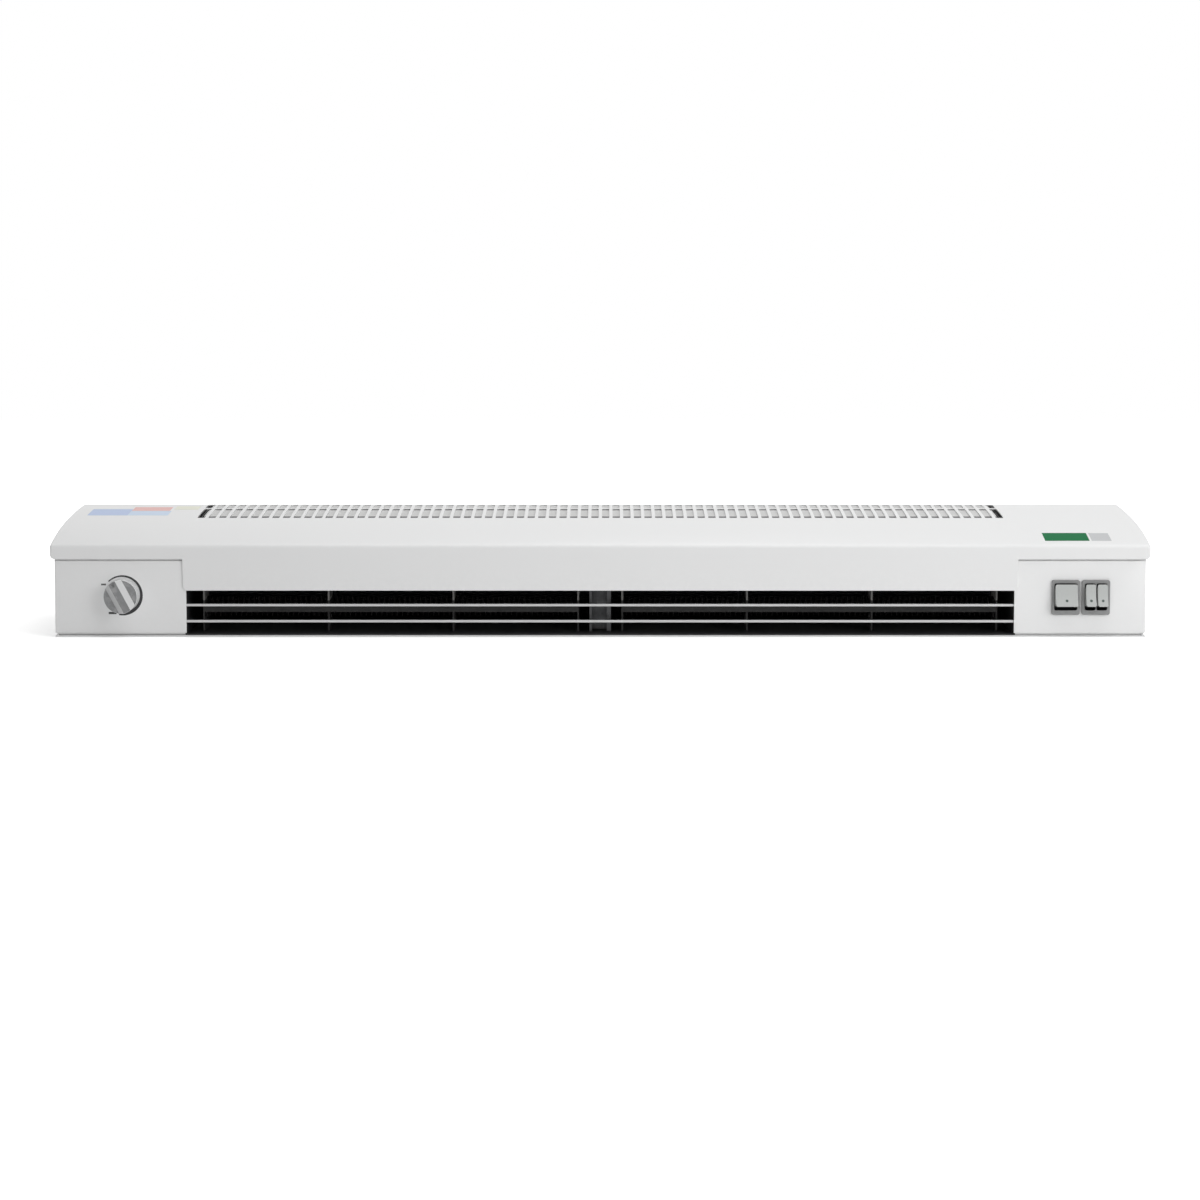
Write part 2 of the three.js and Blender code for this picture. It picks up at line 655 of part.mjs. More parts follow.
function leftEndBox() {
  const neckHole = circle(NECK_RADIUS + SEAT, at(KNOB_X, KNOB_HEIGHT_ON_FACE));
  return mesh(
    "left_end_box",
    cut(mirrored(endBox()), alongY(neckHole, BODY_FRONT - SEAT, PANEL_BACK + SEAT)),
    WHITE_PAINT,
  );
}

function rightEndBox() {
  const window = (x) =>
    alongY(
      rectangle(SWITCH_BODY_WIDTH + 2 * SEAT, SWITCH_BODY_HEIGHT + 2 * SEAT, at(x, SWITCH_HEIGHT_ON_FACE)),
      BODY_FRONT - SEAT,
      PANEL_BACK + SEAT,
    );
  return mesh("right_end_box", cut(endBox(), window(SINGLE_SWITCH_X), window(DOUBLE_SWITCH_X)), WHITE_PAINT);
}

// ---------------------------------------------------------------- outlet

// A blade in section: a flat sheet with a rolled nose.
function bladeShape(height, grow = 0) {
  const opening = Math.PI / 4;
  const tilt = radians(BLADE_TILT);
  const middle = at(BLADE_FRONT + BLADE_NOSE, height);
  const reach = BLADE_CHORD - BLADE_NOSE + grow;
  const half = BLADE_SHEET / 2 + grow;
  const [below, above] = [-half, half].map((side) => at(reach, side).rotateAround(at(0, 0), -tilt).add(middle));
  const section = new THREE.Shape();
  section.absarc(middle.x, middle.y, BLADE_NOSE + grow, opening - tilt, -opening - tilt);
  section.lineTo(below.x, below.y);
  section.lineTo(above.x, above.y);
  return section;
}

function blade(name, height) {
  const end = BULKHEAD_FAR + BLADE_TAB;
  return mesh(name, alongX(bladeShape(height), -end, end, COARSE), BLADE_PAINT);
}

// The right-hand bulkhead, with its foot, the shaft's opening and the blades' slots.
function bulkhead(shaftOpening) {
  const front = PANEL_BACK + SEAT;
  const rear = REAR_WALL_FACE - SEAT;
  const top = underRoof(front + FRONT_BEND, rear, WALL_UNDER_ROOF);
  const outline = [at(front, FLOOR), at(front, LIP_TOP - WALL_UNDER_ROOF), ...top, at(rear, FLOOR)];
  const plate = alongX(polygon(outline), OUTLET_END, BULKHEAD_FAR);
  const footEnd = BULKHEAD_FAR + BULKHEAD_FOOT;
  const foot = box([OUTLET_END, HEATER_FRONT, FLOOR], [footEnd, rear, FLOOR + BULKHEAD_SHEET]);
  const hole = circle(shaftOpening, at(FAN_Y, FAN_HEIGHT));
  const through = (shape) => alongX(shape, OUTLET_END - SEAT, BULKHEAD_FAR + SEAT);
  const blades = [UPPER_BLADE_HEIGHT, LOWER_BLADE_HEIGHT].map((height) => bladeShape(height, SEAT));
  return cut(join(plate, foot), through(hole), ...blades.map(through));
}

// Where the stabiliser's lower face starts to bend up round the rotor.
const TONGUE_ARC = arc(
  at(FAN_Y, FAN_HEIGHT),
  ROTOR_RADIUS + TONGUE_GAP,
  TONGUE_LOW_ANGLE,
  TONGUE_HIGH_ANGLE,
  6,
);

function stabiliser() {
  const above = TONGUE_ARC.at(-1);
  const baffleTop = roofPoint(above.x).y - COVER_SHEET - WALL_UNDER_ROOF;
  const path = [
    at(BODY_FRONT, OUTLET_TOP + FRONT_FLANGE),
    at(BODY_FRONT, OUTLET_TOP),
    ...TONGUE_ARC,
    at(above.x, baffleTop),
  ];
  return mesh("stabiliser", alongX(sheet(path, DUCT_SHEET), -DUCT_END, DUCT_END), DARK_DUCT);
}

function scroll() {
  const widest = FAN_HEIGHT - FLOOR;
  const narrowest = ROTOR_RADIUS + SCROLL_GAP + DUCT_SHEET;
  const spiral = Array.from({ length: SCROLL_STEPS + 1 }, (_, i) => {
    const share = i / SCROLL_STEPS;
    const angle = radians(THREE.MathUtils.lerp(-90, SCROLL_END_ANGLE, share));
    const radius = THREE.MathUtils.lerp(widest, narrowest, share);
    return at(FAN_Y + radius * Math.cos(angle), FAN_HEIGHT + radius * Math.sin(angle));
  });
  const mouth = spiral.at(-1);
  const wall = REAR_WALL_FACE - SEAT;
  const wallEnd = at(wall, mouth.y + (wall - mouth.x) * SCROLL_MOUTH_SLOPE);
  const path = [at(PANEL_BACK + SEAT, FLOOR), ...spiral, wallEnd];
  return mesh("scroll", alongX(sheet(path, DUCT_SHEET), -DUCT_END, DUCT_END), DARK_DUCT);
}

// The grey column in the outlet, and behind it the plate that carries the middle bearing.
function centreBracket() {
  const half = COLUMN_WIDTH / 2;
  const channel = polygon([
    at(-half, COLUMN_FRONT),
    at(-half + COLUMN_LEFT_LIP, COLUMN_FRONT),
    at(-half + COLUMN_LEFT_LIP, COLUMN_FRONT + COLUMN_SHEET),
    at(-half + COLUMN_SHEET, COLUMN_FRONT + COLUMN_SHEET),
    at(-half + COLUMN_SHEET, COLUMN_REAR - COLUMN_SHEET),
    at(half - COLUMN_SHEET, COLUMN_REAR - COLUMN_SHEET),
    at(half - COLUMN_SHEET, COLUMN_FRONT + COLUMN_SHEET),
    at(half - COLUMN_RIGHT_LIP, COLUMN_FRONT + COLUMN_SHEET),
    at(half - COLUMN_RIGHT_LIP, COLUMN_FRONT),
    at(half, COLUMN_FRONT),
    at(half, COLUMN_REAR),
    at(-half, COLUMN_REAR),
  ]);
  const low = DUCT_FLOOR + SEAT;
  const high = OUTLET_TOP - SEAT;
  const bossRadius = BEARING_RADIUS + SEAT + BEARING_WALL;
  const tongueFoot = FAN_Y - ROTOR_RADIUS - TONGUE_GAP;
  const plate = polygon([
    at(COLUMN_REAR - COLUMN_SHEET, low),
    at(FAN_Y, low),
    at(FAN_Y + bossRadius, FAN_HEIGHT),
    at(FAN_Y - bossRadius, FAN_HEIGHT),
    at(tongueFoot, high),
    at(COLUMN_REAR - COLUMN_SHEET, high),
  ]);
  const axis = at(FAN_Y, FAN_HEIGHT);
  const boss = alongX(circle(bossRadius, axis), -BEARING_LENGTH / 2, BEARING_LENGTH / 2, FINE);
  const bore = alongX(circle(BEARING_RADIUS + SEAT, axis), -BEARING_LENGTH, BEARING_LENGTH, FINE);
  const whole = join(alongZ(channel, low, high), alongX(plate, -WEB_SHEET / 2, WEB_SHEET / 2), boss);
  return mesh("centre_bracket", cut(whole, bore), GALVANISED);
}

// ---------------------------------------------------------------- heater, right-hand half

const HEATER_MIDDLE = (DUCT_FLOOR + OUTLET_TOP) / 2;
const HEATER_MIDDLE_Y = (HEATER_FRONT + HEATER_REAR) / 2;
const HEATER_LAST = OUTLET_END - LAST_SUPPORT;
const SUPPORT_PITCH = (HEATER_LAST - FIRST_SUPPORT) / (SUPPORT_COUNT - 1);

function heaterFrame() {
  const low = DUCT_FLOOR + SEAT;
  const high = OUTLET_TOP - SEAT;
  const windowWidth = RIBBON_WIDTH + 2 * RIBBON_CLEARANCE;
  const windowHeight = 2 * (RIBBON_SWING + RIBBON_SHEET + RIBBON_CLEARANCE);
  const supports = Array.from({ length: SUPPORT_COUNT }, (_, i) => {
    const x = FIRST_SUPPORT + i * SUPPORT_PITCH;
    const sides = [x - HEATER_SUPPORT_SHEET / 2, x + HEATER_SUPPORT_SHEET / 2];
    return box([sides[0], HEATER_FRONT, low], [sides[1], HEATER_REAR, high]);
  });
  const rails = [HEATER_FRONT, HEATER_REAR - HEATER_RAIL_SHEET].map((y) =>
    box(
      [FIRST_SUPPORT, y, HEATER_MIDDLE - HEATER_RAIL_HEIGHT / 2],
      [HEATER_LAST, y + HEATER_RAIL_SHEET, HEATER_MIDDLE + HEATER_RAIL_HEIGHT / 2],
    ),
  );
  const window = alongX(
    rectangle(windowWidth, windowHeight, at(HEATER_MIDDLE_Y, HEATER_MIDDLE)),
    FIRST_SUPPORT - HEATER_SUPPORT_SHEET,
    HEATER_LAST + HEATER_SUPPORT_SHEET,
  );
  return cut(join(...supports, ...rails), window);
}

// A corrugated ribbon that runs through the supports.
function heaterRibbon() {
  const length = HEATER_LAST - FIRST_SUPPORT;
  const turns = Math.round((2 * length) / RIBBON_PITCH);
  const path = Array.from({ length: turns + 1 }, (_, i) => {
    const swing = i % 2 ? RIBBON_SWING : -RIBBON_SWING;
    return at(FIRST_SUPPORT + (i * length) / turns, HEATER_MIDDLE + swing);
  });
  const half = RIBBON_WIDTH / 2;
  return alongY(sheet(path, RIBBON_SHEET), HEATER_MIDDLE_Y - half, HEATER_MIDDLE_Y + half);
}

// A disc thermostat on the bulkhead's outer face, level with the heater.
function thermalCutout() {
  const place = at(HEATER_MIDDLE_Y, HEATER_MIDDLE);
  const start = BULKHEAD_FAR + SEAT;
  const can = alongX(circle(CUTOUT_RADIUS, place), start, start + CUTOUT_THICKNESS);
  const halfTab = CUTOUT_TAB_SHEET / 2;
  const tabs = box(
    [start + CUTOUT_THICKNESS / 2, place.x - CUTOUT_RADIUS / 2, place.y - halfTab],
    [start + 2 * CUTOUT_THICKNESS, place.x + CUTOUT_RADIUS / 2, place.y + halfTab],
  );
  return join(can, tabs);
}

function pair(name, geometry, look) {
  return [mesh(name + "_left", mirrored(geometry), look), mesh(name + "_right", geometry, look)];
}

// ---------------------------------------------------------------- fan, about its own axis

function rotor() {
  const from = ROTOR_MIDDLE_GAP;
  const to = ROTOR_OUTER_END;
  const tip = ROTOR_RADIUS - ROTOR_DISC / 2;
  const root = ROTOR_RADIUS - ROTOR_BLADE_DEPTH;
  const camber = [at(root, 0), at((root + tip) / 2, ROTOR_BLADE_BOW), at(tip, 0)];
  const fin = alongX(sheet(camber, ROTOR_BLADE_SHEET), from + ROTOR_DISC / 2, to - ROTOR_DISC / 2);
  const fins = Array.from({ length: ROTOR_BLADES }, (_, i) =>
    fin.clone().rotateX((i * 2 * Math.PI) / ROTOR_BLADES),
  );
  const disc = (x) => alongX(circle(ROTOR_RADIUS), x, x + ROTOR_DISC, FINE);
  const middle = (from + to) / 2;
  const band = alongX(ring(ROTOR_RADIUS, root + ROTOR_BAND_LAP), middle, middle + ROTOR_DISC, FINE);
  const hubs = [
    alongX(circle(ROTOR_HUB_RADIUS), from, from + ROTOR_HUB_LENGTH),
    alongX(circle(ROTOR_HUB_RADIUS), to - ROTOR_HUB_LENGTH, to),
  ];
  const bore = alongX(circle(SHAFT_RADIUS + SEAT), from - SEAT, to + SEAT);
  return cut(join(disc(from), disc(to - ROTOR_DISC), band, ...fins, ...hubs), bore);
}

function shaft(name, from, to) {
  return mesh(name, alongX(circle(SHAFT_RADIUS), from, to), STEEL);
}

function bearing(name, middle) {
  const shape = ring(BEARING_RADIUS, SHAFT_RADIUS + RUNNING);
  return mesh(name, alongX(shape, middle - BEARING_LENGTH / 2, middle + BEARING_LENGTH / 2, FINE), BRASS);
}

// Turning pieces: two rotors and the shafts that carry them.
const MOTOR_SHOULDER = -BULKHEAD_FAR - MOTOR_FROM_BULKHEAD;
const NOSE_END = MOTOR_SHOULDER + MOTOR_NOSE_LENGTH;
const OUTER_HUB = ROTOR_OUTER_END - ROTOR_HUB_LENGTH;
const END_BEARING_MIDDLE = (OUTLET_END + BULKHEAD_FAR) / 2;

function turningParts() {
  const inHub = ROTOR_MIDDLE_GAP + ROTOR_HUB_LENGTH;
  const couplingEnd = -ROTOR_OUTER_END - SEAT;
  const couplingShape = ring(COUPLING_RADIUS, SHAFT_RADIUS + SEAT);
  const group = new THREE.Group();
  group.position.set(0, FAN_Y, FAN_HEIGHT);
  group.add(
    ...pair("rotor", rotor(), ALUMINIUM),
    shaft("drive_shaft", NOSE_END - MOTOR_NOSE_LENGTH - MOTOR_CAP_DEPTH, -OUTER_HUB),
    shaft("middle_shaft", -inHub, inHub),
    shaft("end_shaft", OUTER_HUB, END_BEARING_MIDDLE + BEARING_LENGTH / 2),
    mesh("motor_coupling", alongX(couplingShape, couplingEnd - COUPLING_LENGTH, couplingEnd), RUBBER),
  );
  return group;
}

// Fixed pieces on the same axis: bearings, motor and motor ring.
function fixedAxisParts() {
  const holder = ring(BEARING_RADIUS + SEAT + BEARING_WALL, BEARING_RADIUS + SEAT);
  const ringHalf = BULKHEAD_SHEET / 2 + BEARING_WALL;
  const shoulder = MOTOR_RADIUS - MOTOR_CAP_DEPTH / 2;
  const canRear = MOTOR_SHOULDER - MOTOR_LENGTH;
  const boreRadius = SHAFT_RADIUS + RUNNING;
  const boreDepth = MOTOR_NOSE_LENGTH + MOTOR_CAP_DEPTH + MOTOR_BORE_SPARE;
  const canProfile = [
    at(0, 0),
    at(MOTOR_RADIUS, 0),
    at(MOTOR_RADIUS, MOTOR_LENGTH - MOTOR_CAP_DEPTH),
    at(shoulder, MOTOR_LENGTH),
    at(MOTOR_NOSE_RADIUS, MOTOR_LENGTH),
    at(MOTOR_NOSE_RADIUS, MOTOR_LENGTH + MOTOR_NOSE_LENGTH),
    at(boreRadius, MOTOR_LENGTH + MOTOR_NOSE_LENGTH),
    at(boreRadius, MOTOR_LENGTH + MOTOR_NOSE_LENGTH - boreDepth),
    at(0, MOTOR_LENGTH + MOTOR_NOSE_LENGTH - boreDepth),
  ];
  const capProfile = [
    at(0, -MOTOR_CAP_DEPTH),
    at(shoulder, -MOTOR_CAP_DEPTH),
    at(MOTOR_RADIUS, -SEAT - MOTOR_CAP_DEPTH / 2),
    at(MOTOR_RADIUS, -SEAT),
    at(0, -SEAT),
  ];
  const turned = (profile) =>
    new THREE.LatheGeometry(profile, 2 * FINE).rotateZ(-Math.PI / 2).translate(canRear, 0, 0);
  const noseRing = ring(MOTOR_NOSE_RADIUS + SEAT + BEARING_WALL, MOTOR_NOSE_RADIUS + SEAT);
  const ringStart = MOTOR_SHOULDER + SEAT;
  const group = new THREE.Group();
  group.position.set(0, FAN_Y, FAN_HEIGHT);
  group.add(
    bearing("middle_bearing", 0),
    bearing("end_bearing", END_BEARING_MIDDLE),
    mesh(
      "end_bearing_ring",
      alongX(holder, END_BEARING_MIDDLE - ringHalf, END_BEARING_MIDDLE + ringHalf, FINE),
      RUBBER,
    ),
    mesh("motor_can", turned(canProfile), MOTOR_STEEL),
    mesh("motor_end_cap", turned(capProfile), ALUMINIUM),
    mesh("motor_ring", alongX(noseRing, ringStart, NOSE_END, FINE), RUBBER),
  );
  return group;
}

function motorBracket() {
  const from = MOTOR_SHOULDER + MOTOR_NOSE_LENGTH / 2;
  const to = from + MOTOR_BRACKET_SHEET;
  const half = MOTOR_BRACKET_WIDTH / 2;
  const holeRadius = MOTOR_NOSE_RADIUS + 2 * SEAT + BEARING_WALL;
  const outline = [
    at(FAN_Y - half, FLOOR),
    at(FAN_Y + half, FLOOR),
    ...arc(at(FAN_Y, FAN_HEIGHT), half, 0, 180, 10),
  ];
  const plate = alongX(polygon(outline), from, to);
  const foot = box([to - MOTOR_FOOT, FAN_Y - half, FLOOR], [to, FAN_Y + half, FLOOR + MOTOR_BRACKET_SHEET]);
  const hole = alongX(circle(holeRadius, at(FAN_Y, FAN_HEIGHT)), from - SEAT, to + SEAT, FINE);
  return mesh("motor_bracket", cut(join(plate, foot), hole), GALVANISED);
}

// ---------------------------------------------------------------- thermostat and knob
// Drawn facing +Z, with the panel's front at zero, and turned to face the outlet side afterwards.

function knob() {
  const drum = alongZ(circle(KNOB_RADIUS), TOUCH, KNOB_SHOULDER, KNOB_FINE);
  const ridge = alongX(
    polygon([
      at(-GRIP_ROOT_WIDTH / 2, KNOB_SHOULDER - SEAT),
      at(GRIP_ROOT_WIDTH / 2, KNOB_SHOULDER - SEAT),
      at(GRIP_TOP_WIDTH / 2, KNOB_PROJECTION),
      at(-GRIP_TOP_WIDTH / 2, KNOB_PROJECTION),
    ]),
    -KNOB_RADIUS,
    KNOB_RADIUS,
  );
  const grip = common(ridge, alongZ(circle(KNOB_RADIUS), 0, KNOB_PROJECTION + SEAT, KNOB_FINE));
  const notch = box(
    [KNOB_RADIUS - 2 * POINTER_NOTCH, -POINTER_NOTCH / 2, KNOB_PROJECTION - POINTER_NOTCH],
    [KNOB_RADIUS + SEAT, POINTER_NOTCH / 2, KNOB_PROJECTION + SEAT],
  );
  const recess = alongZ(circle(KNOB_RECESS_RADIUS), 0, TOUCH + KNOB_RECESS_DEPTH);
  const bore = alongZ(circle(SPINDLE_RADIUS + SEAT), 0, KNOB_PROJECTION - KNOB_CROWN);
  const whole = cut(join(drum, grip), notch, recess, bore);
  return mesh("knob", whole.rotateZ(radians(90 + POINTER_TILT)), SILVER_PLASTIC);
}

function thermostatParts() {
  const back = -BODY_SHEET - SEAT;
  const housing = join(
    alongZ(rectangle(THERMOSTAT_SIZE, THERMOSTAT_SIZE), back - THERMOSTAT_DEPTH, back),
    alongZ(circle(NECK_RADIUS), back - SEAT, NECK_LENGTH - BODY_SHEET),
  );
  const spindleFrom = back - THERMOSTAT_DEPTH / 2;
  const spindleTo = KNOB_PROJECTION - KNOB_CROWN - SEAT;
  const socket = alongZ(circle(SPINDLE_RADIUS + RUNNING), spindleFrom - SEAT, KNOB_PROJECTION);
  const nut = hexagon(NUT_RADIUS);
  nut.holes.push(circle(NECK_RADIUS + SEAT));
  const group = new THREE.Group();
  group.position.set(KNOB_X, BODY_FRONT, KNOB_HEIGHT_ON_FACE);
  group.rotation.x = Math.PI / 2;
  group.add(
    knob(),
    mesh("thermostat", cut(housing, socket), BLACK_PLASTIC),
    mesh("thermostat_nut", alongZ(nut, SEAT, SEAT + NUT_THICKNESS), BRASS),
    mesh("thermostat_spindle", alongZ(circle(SPINDLE_RADIUS), spindleFrom, spindleTo), STEEL),
  );
  return group;
}

// The thermostat's sensing bulb lies on the left bulkhead, in the air that the fan draws in.
function sensingBulb() {
  const x = -BULKHEAD_FAR - BULB_RADIUS - SEAT;
  const z = FAN_HEIGHT + ROTOR_RADIUS;
  const half = BULB_LENGTH / 2;
  return mesh("sensing_bulb", alongY(circle(BULB_RADIUS, at(x, z)), FAN_Y - half, FAN_Y + half), COPPER_TUBE);
}

// ---------------------------------------------------------------- switches
// Drawn in (depth, height) about the pivot: depth grows into the unit, height grows away from the wall.

const ROCKER_FACE = PIVOT_DEPTH + ROCKER_PROUD; // from the pivot to a corner, halfway through the travel
const PIVOT_Y = BODY_FRONT - BEZEL_PROJECTION + PIVOT_DEPTH;

function rocker(name, width, x) {
  const halfBack = ROCKER_HALF_HEIGHT - ROCKER_BACK / 2;
  const endRadius = ROCKER_REACH - RUNNING;
  const shape = polygon([
    at(-ROCKER_FACE, -ROCKER_HALF_HEIGHT),
    at(-ROCKER_FACE + ROCKER_VALLEY, 0),
    at(-ROCKER_FACE, ROCKER_HALF_HEIGHT),
    ...arc(at(0, 0), endRadius, 90 + ROCKER_END_TURN, 90, 2),
    at(ROCKER_BACK, halfBack),
    at(ROCKER_BACK, -halfBack),
    ...arc(at(0, 0), endRadius, 270, 270 - ROCKER_END_TURN, 2),
  ]);
  const pinReach = width / 2 + (ROCKER_DIVIDER + SEAT) / 2;
  const body = alongX(shape, -width / 2, width / 2);
  const pin = alongX(circle(PIVOT_RADIUS), -pinReach, pinReach, COARSE);
  const piece = mesh(name, join(body, pin), ROCKER_GREY);
  piece.rotation.x = -radians(ROCKER_THROW);
  piece.position.set(x, PIVOT_Y, SWITCH_HEIGHT_ON_FACE);
  return piece;
}

function switchHousing(name, x, rockerWidth, rockerPlaces) {
  const bezel = alongY(rectangle(BEZEL_WIDTH, BEZEL_HEIGHT), -BEZEL_PROJECTION, -SEAT);
  const inBezel = -SEAT - BODY_SHEET;
  const body = alongY(rectangle(SWITCH_BODY_WIDTH, SWITCH_BODY_HEIGHT), inBezel, SWITCH_BODY_DEPTH);
  const pocketDepth = PIVOT_DEPTH + ROCKER_REACH;
  const pockets = rockerPlaces.map((place) =>
    box(
      [place - rockerWidth / 2 - SEAT, -BEZEL_PROJECTION - SEAT, -ROCKER_REACH - SEAT],
      [place + rockerWidth / 2 + SEAT, pocketDepth - BEZEL_PROJECTION, ROCKER_REACH + SEAT],
    ),
  );
  const pivots = alongX(
    circle(PIVOT_RADIUS + RUNNING, at(PIVOT_DEPTH - BEZEL_PROJECTION, 0)),
    -SWITCH_BODY_WIDTH / 2 - SEAT,
    SWITCH_BODY_WIDTH / 2 + SEAT,
    COARSE,
  );
  const piece = mesh(name, cut(join(bezel, body), ...pockets, pivots), SWITCH_GREY);
  piece.position.set(x, BODY_FRONT, SWITCH_HEIGHT_ON_FACE);
  return piece;
}

function switches() {
  const apart = (DOUBLE_ROCKER_WIDTH + ROCKER_DIVIDER) / 2 + SEAT;
  const group = new THREE.Group();
  group.add(
    switchHousing("single_switch", SINGLE_SWITCH_X, SINGLE_ROCKER_WIDTH, [0]),
    rocker("single_rocker", SINGLE_ROCKER_WIDTH, SINGLE_SWITCH_X),
    switchHousing("double_switch", DOUBLE_SWITCH_X, DOUBLE_ROCKER_WIDTH, [-apart, apart]),
    rocker("double_rocker_left", DOUBLE_ROCKER_WIDTH, DOUBLE_SWITCH_X - apart),
    rocker("double_rocker_right", DOUBLE_ROCKER_WIDTH, DOUBLE_SWITCH_X + apart),
  );
  return group;
}

// ---------------------------------------------------------------- electrical fittings

// First free place beside a bulkhead's foot.
const FITTINGS_X = BULKHEAD_FAR + BULKHEAD_FOOT + FITTING_SPACING;

function terminalBlock() {
  const y = REAR_WALL_FACE - TERMINAL_FROM_REAR;
  const top = FLOOR + TERMINAL_HEIGHT;
  const block = box(
    [FITTINGS_X, y - TERMINAL_WIDTH / 2, FLOOR],
    [FITTINGS_X + TERMINAL_LENGTH, y + TERMINAL_WIDTH / 2, top],
  );
  const way = TERMINAL_LENGTH / TERMINAL_WAYS;
  const wells = Array.from({ length: TERMINAL_WAYS }, (_, i) => {
    const middle = at(FITTINGS_X + (i + 0.5) * way, y);
    return alongZ(circle(way / 4, middle), top - TERMINAL_HEIGHT / 2, top + SEAT, COARSE);
  });
  return mesh("terminal_block", cut(block, ...wells), WHITE_PLASTIC);
}

function relay() {
  const y = FAN_Y - RELAY_BEFORE_FAN;
  const x = FITTINGS_X + RELAY_FOOT_REACH;
  const low = [x, y - RELAY_WIDTH / 2, FLOOR];
  const high = [x + RELAY_LENGTH, y + RELAY_WIDTH / 2, FLOOR + RELAY_HEIGHT];
  const foot = box(
    [low[0] - RELAY_FOOT_REACH, low[1], FLOOR],
    [high[0] + RELAY_FOOT_REACH, high[1], FLOOR + RELAY_FOOT_SHEET],
  );
  return mesh("power_relay", join(box(low, high), foot), BLACK_PLASTIC);
}

// The motor's capacitor stands on the left end of the back plate.
function capacitor() {
  const beforeMotor = FAN_Y - MOTOR_RADIUS - FITTING_SPACING;
  const middle = at(-FITTINGS_X - CAPACITOR_RADIUS, beforeMotor - CAPACITOR_RADIUS);
  const top = FLOOR + CAPACITOR_LENGTH;
  const can = alongZ(circle(CAPACITOR_RADIUS, middle), FLOOR, top);
  const cap = alongZ(circle(CAPACITOR_RADIUS - CAPACITOR_CAP_STEP, middle), FLOOR, top + CAPACITOR_CAP_HEIGHT);
  return mesh("motor_capacitor", join(can, cap), WHITE_PLASTIC);
}

function cableGland() {
  const place = at(BODY_END - GLAND_FROM_END, GLAND_HEIGHT);
  const outside = BODY_REAR + SEAT;
  const inside = REAR_WALL_FACE - SEAT;
  const threadEnd = inside - GLAND_NUT_THICKNESS - GLAND_THREAD_SPARE;
  const body = join(
    alongY(circle(GLAND_RADIUS, place), threadEnd, outside + GLAND_FLANGE),
    alongY(circle(GLAND_FLANGE_RADIUS, place), outside, outside + GLAND_FLANGE),
  );
  const bore = alongY(circle(GLAND_BORE, place), threadEnd - SEAT, outside + GLAND_FLANGE + SEAT);
  const nut = hexagon(GLAND_NUT_RADIUS, place);
  nut.holes.push(circle(GLAND_RADIUS + SEAT, place));
  return [
    mesh("cable_gland", cut(body, bore), BLACK_PLASTIC),
    mesh("gland_nut", alongY(nut, inside - GLAND_NUT_THICKNESS, inside), BLACK_PLASTIC),
  ];
}

function earthStud() {
  const place = at(FITTINGS_X + TERMINAL_LENGTH + EARTH_STUD_FROM_TERMINAL, 0);
  const stud = alongZ(circle(EARTH_STUD_RADIUS, place), FLOOR, FLOOR + EARTH_STUD_LENGTH, COARSE);
  const nut = alongZ(hexagon(EARTH_NUT_RADIUS, place), FLOOR, FLOOR + EARTH_NUT_THICKNESS);
  return mesh("earth_stud", join(stud, nut), BRASS);
}

// A wiring loom in the corner behind the scroll, from one end compartment to the other.
function wiringLoom() {
  const y = REAR_WALL_FACE - LOOM_RADIUS - SEAT;
  const z = FLOOR + BULKHEAD_SHEET + LOOM_RADIUS + SEAT;
  const reach = BULKHEAD_FAR + BULKHEAD_FOOT;
  const notchRadius = LOOM_RADIUS + SEAT;
  return {
    loom: mesh("wiring_loom", alongX(circle(LOOM_RADIUS, at(y, z)), -reach, reach, COARSE), RUBBER),
    notch: alongX(circle(notchRadius, at(y, z)), OUTLET_END - SEAT, BULKHEAD_FAR + SEAT, COARSE),
  };
}

// ---------------------------------------------------------------- screws

// A pan-head screw whose head rests just outside a sheet, drawn along +Z into the sheet.
function screwGeometry() {
  const head = alongZ(circle(SCREW_HEAD_RADIUS), -SEAT - SCREW_HEAD_HEIGHT, -SEAT);
  const shank = alongZ(circle(SCREW_RADIUS), -SEAT - SCREW_HEAD_HEIGHT / 2, SCREW_LENGTH, COARSE);
  return join(head, shank);
}

function screws() {
  const group = new THREE.Group();
  screwPoints().forEach((x, i) => {
    const screw = mesh("cover_screw_" + (i + 1), screwGeometry(), STEEL);
    screw.rotation.x = Math.PI / 2;
    screw.position.set(x, REAR, COVER_SCREW_HEIGHT);
    group.add(screw);
  });
  [-1, 1].forEach((end) =>
    [-1, 1].forEach((side) => {
      const name = "box_screw_" + (end > 0 ? "right" : "left") + (side > 0 ? "_rear" : "_front");
      const screw = mesh(name, screwGeometry(), STEEL);
      screw.rotation.y = (-end * Math.PI) / 2;
      screw.position.set(end * BODY_END, side * BOX_SCREW_FROM_MIDDLE, BOX_SCREW_HEIGHT);
      group.add(screw);
    }),
  );
  return group;
}

// ---------------------------------------------------------------- assembly

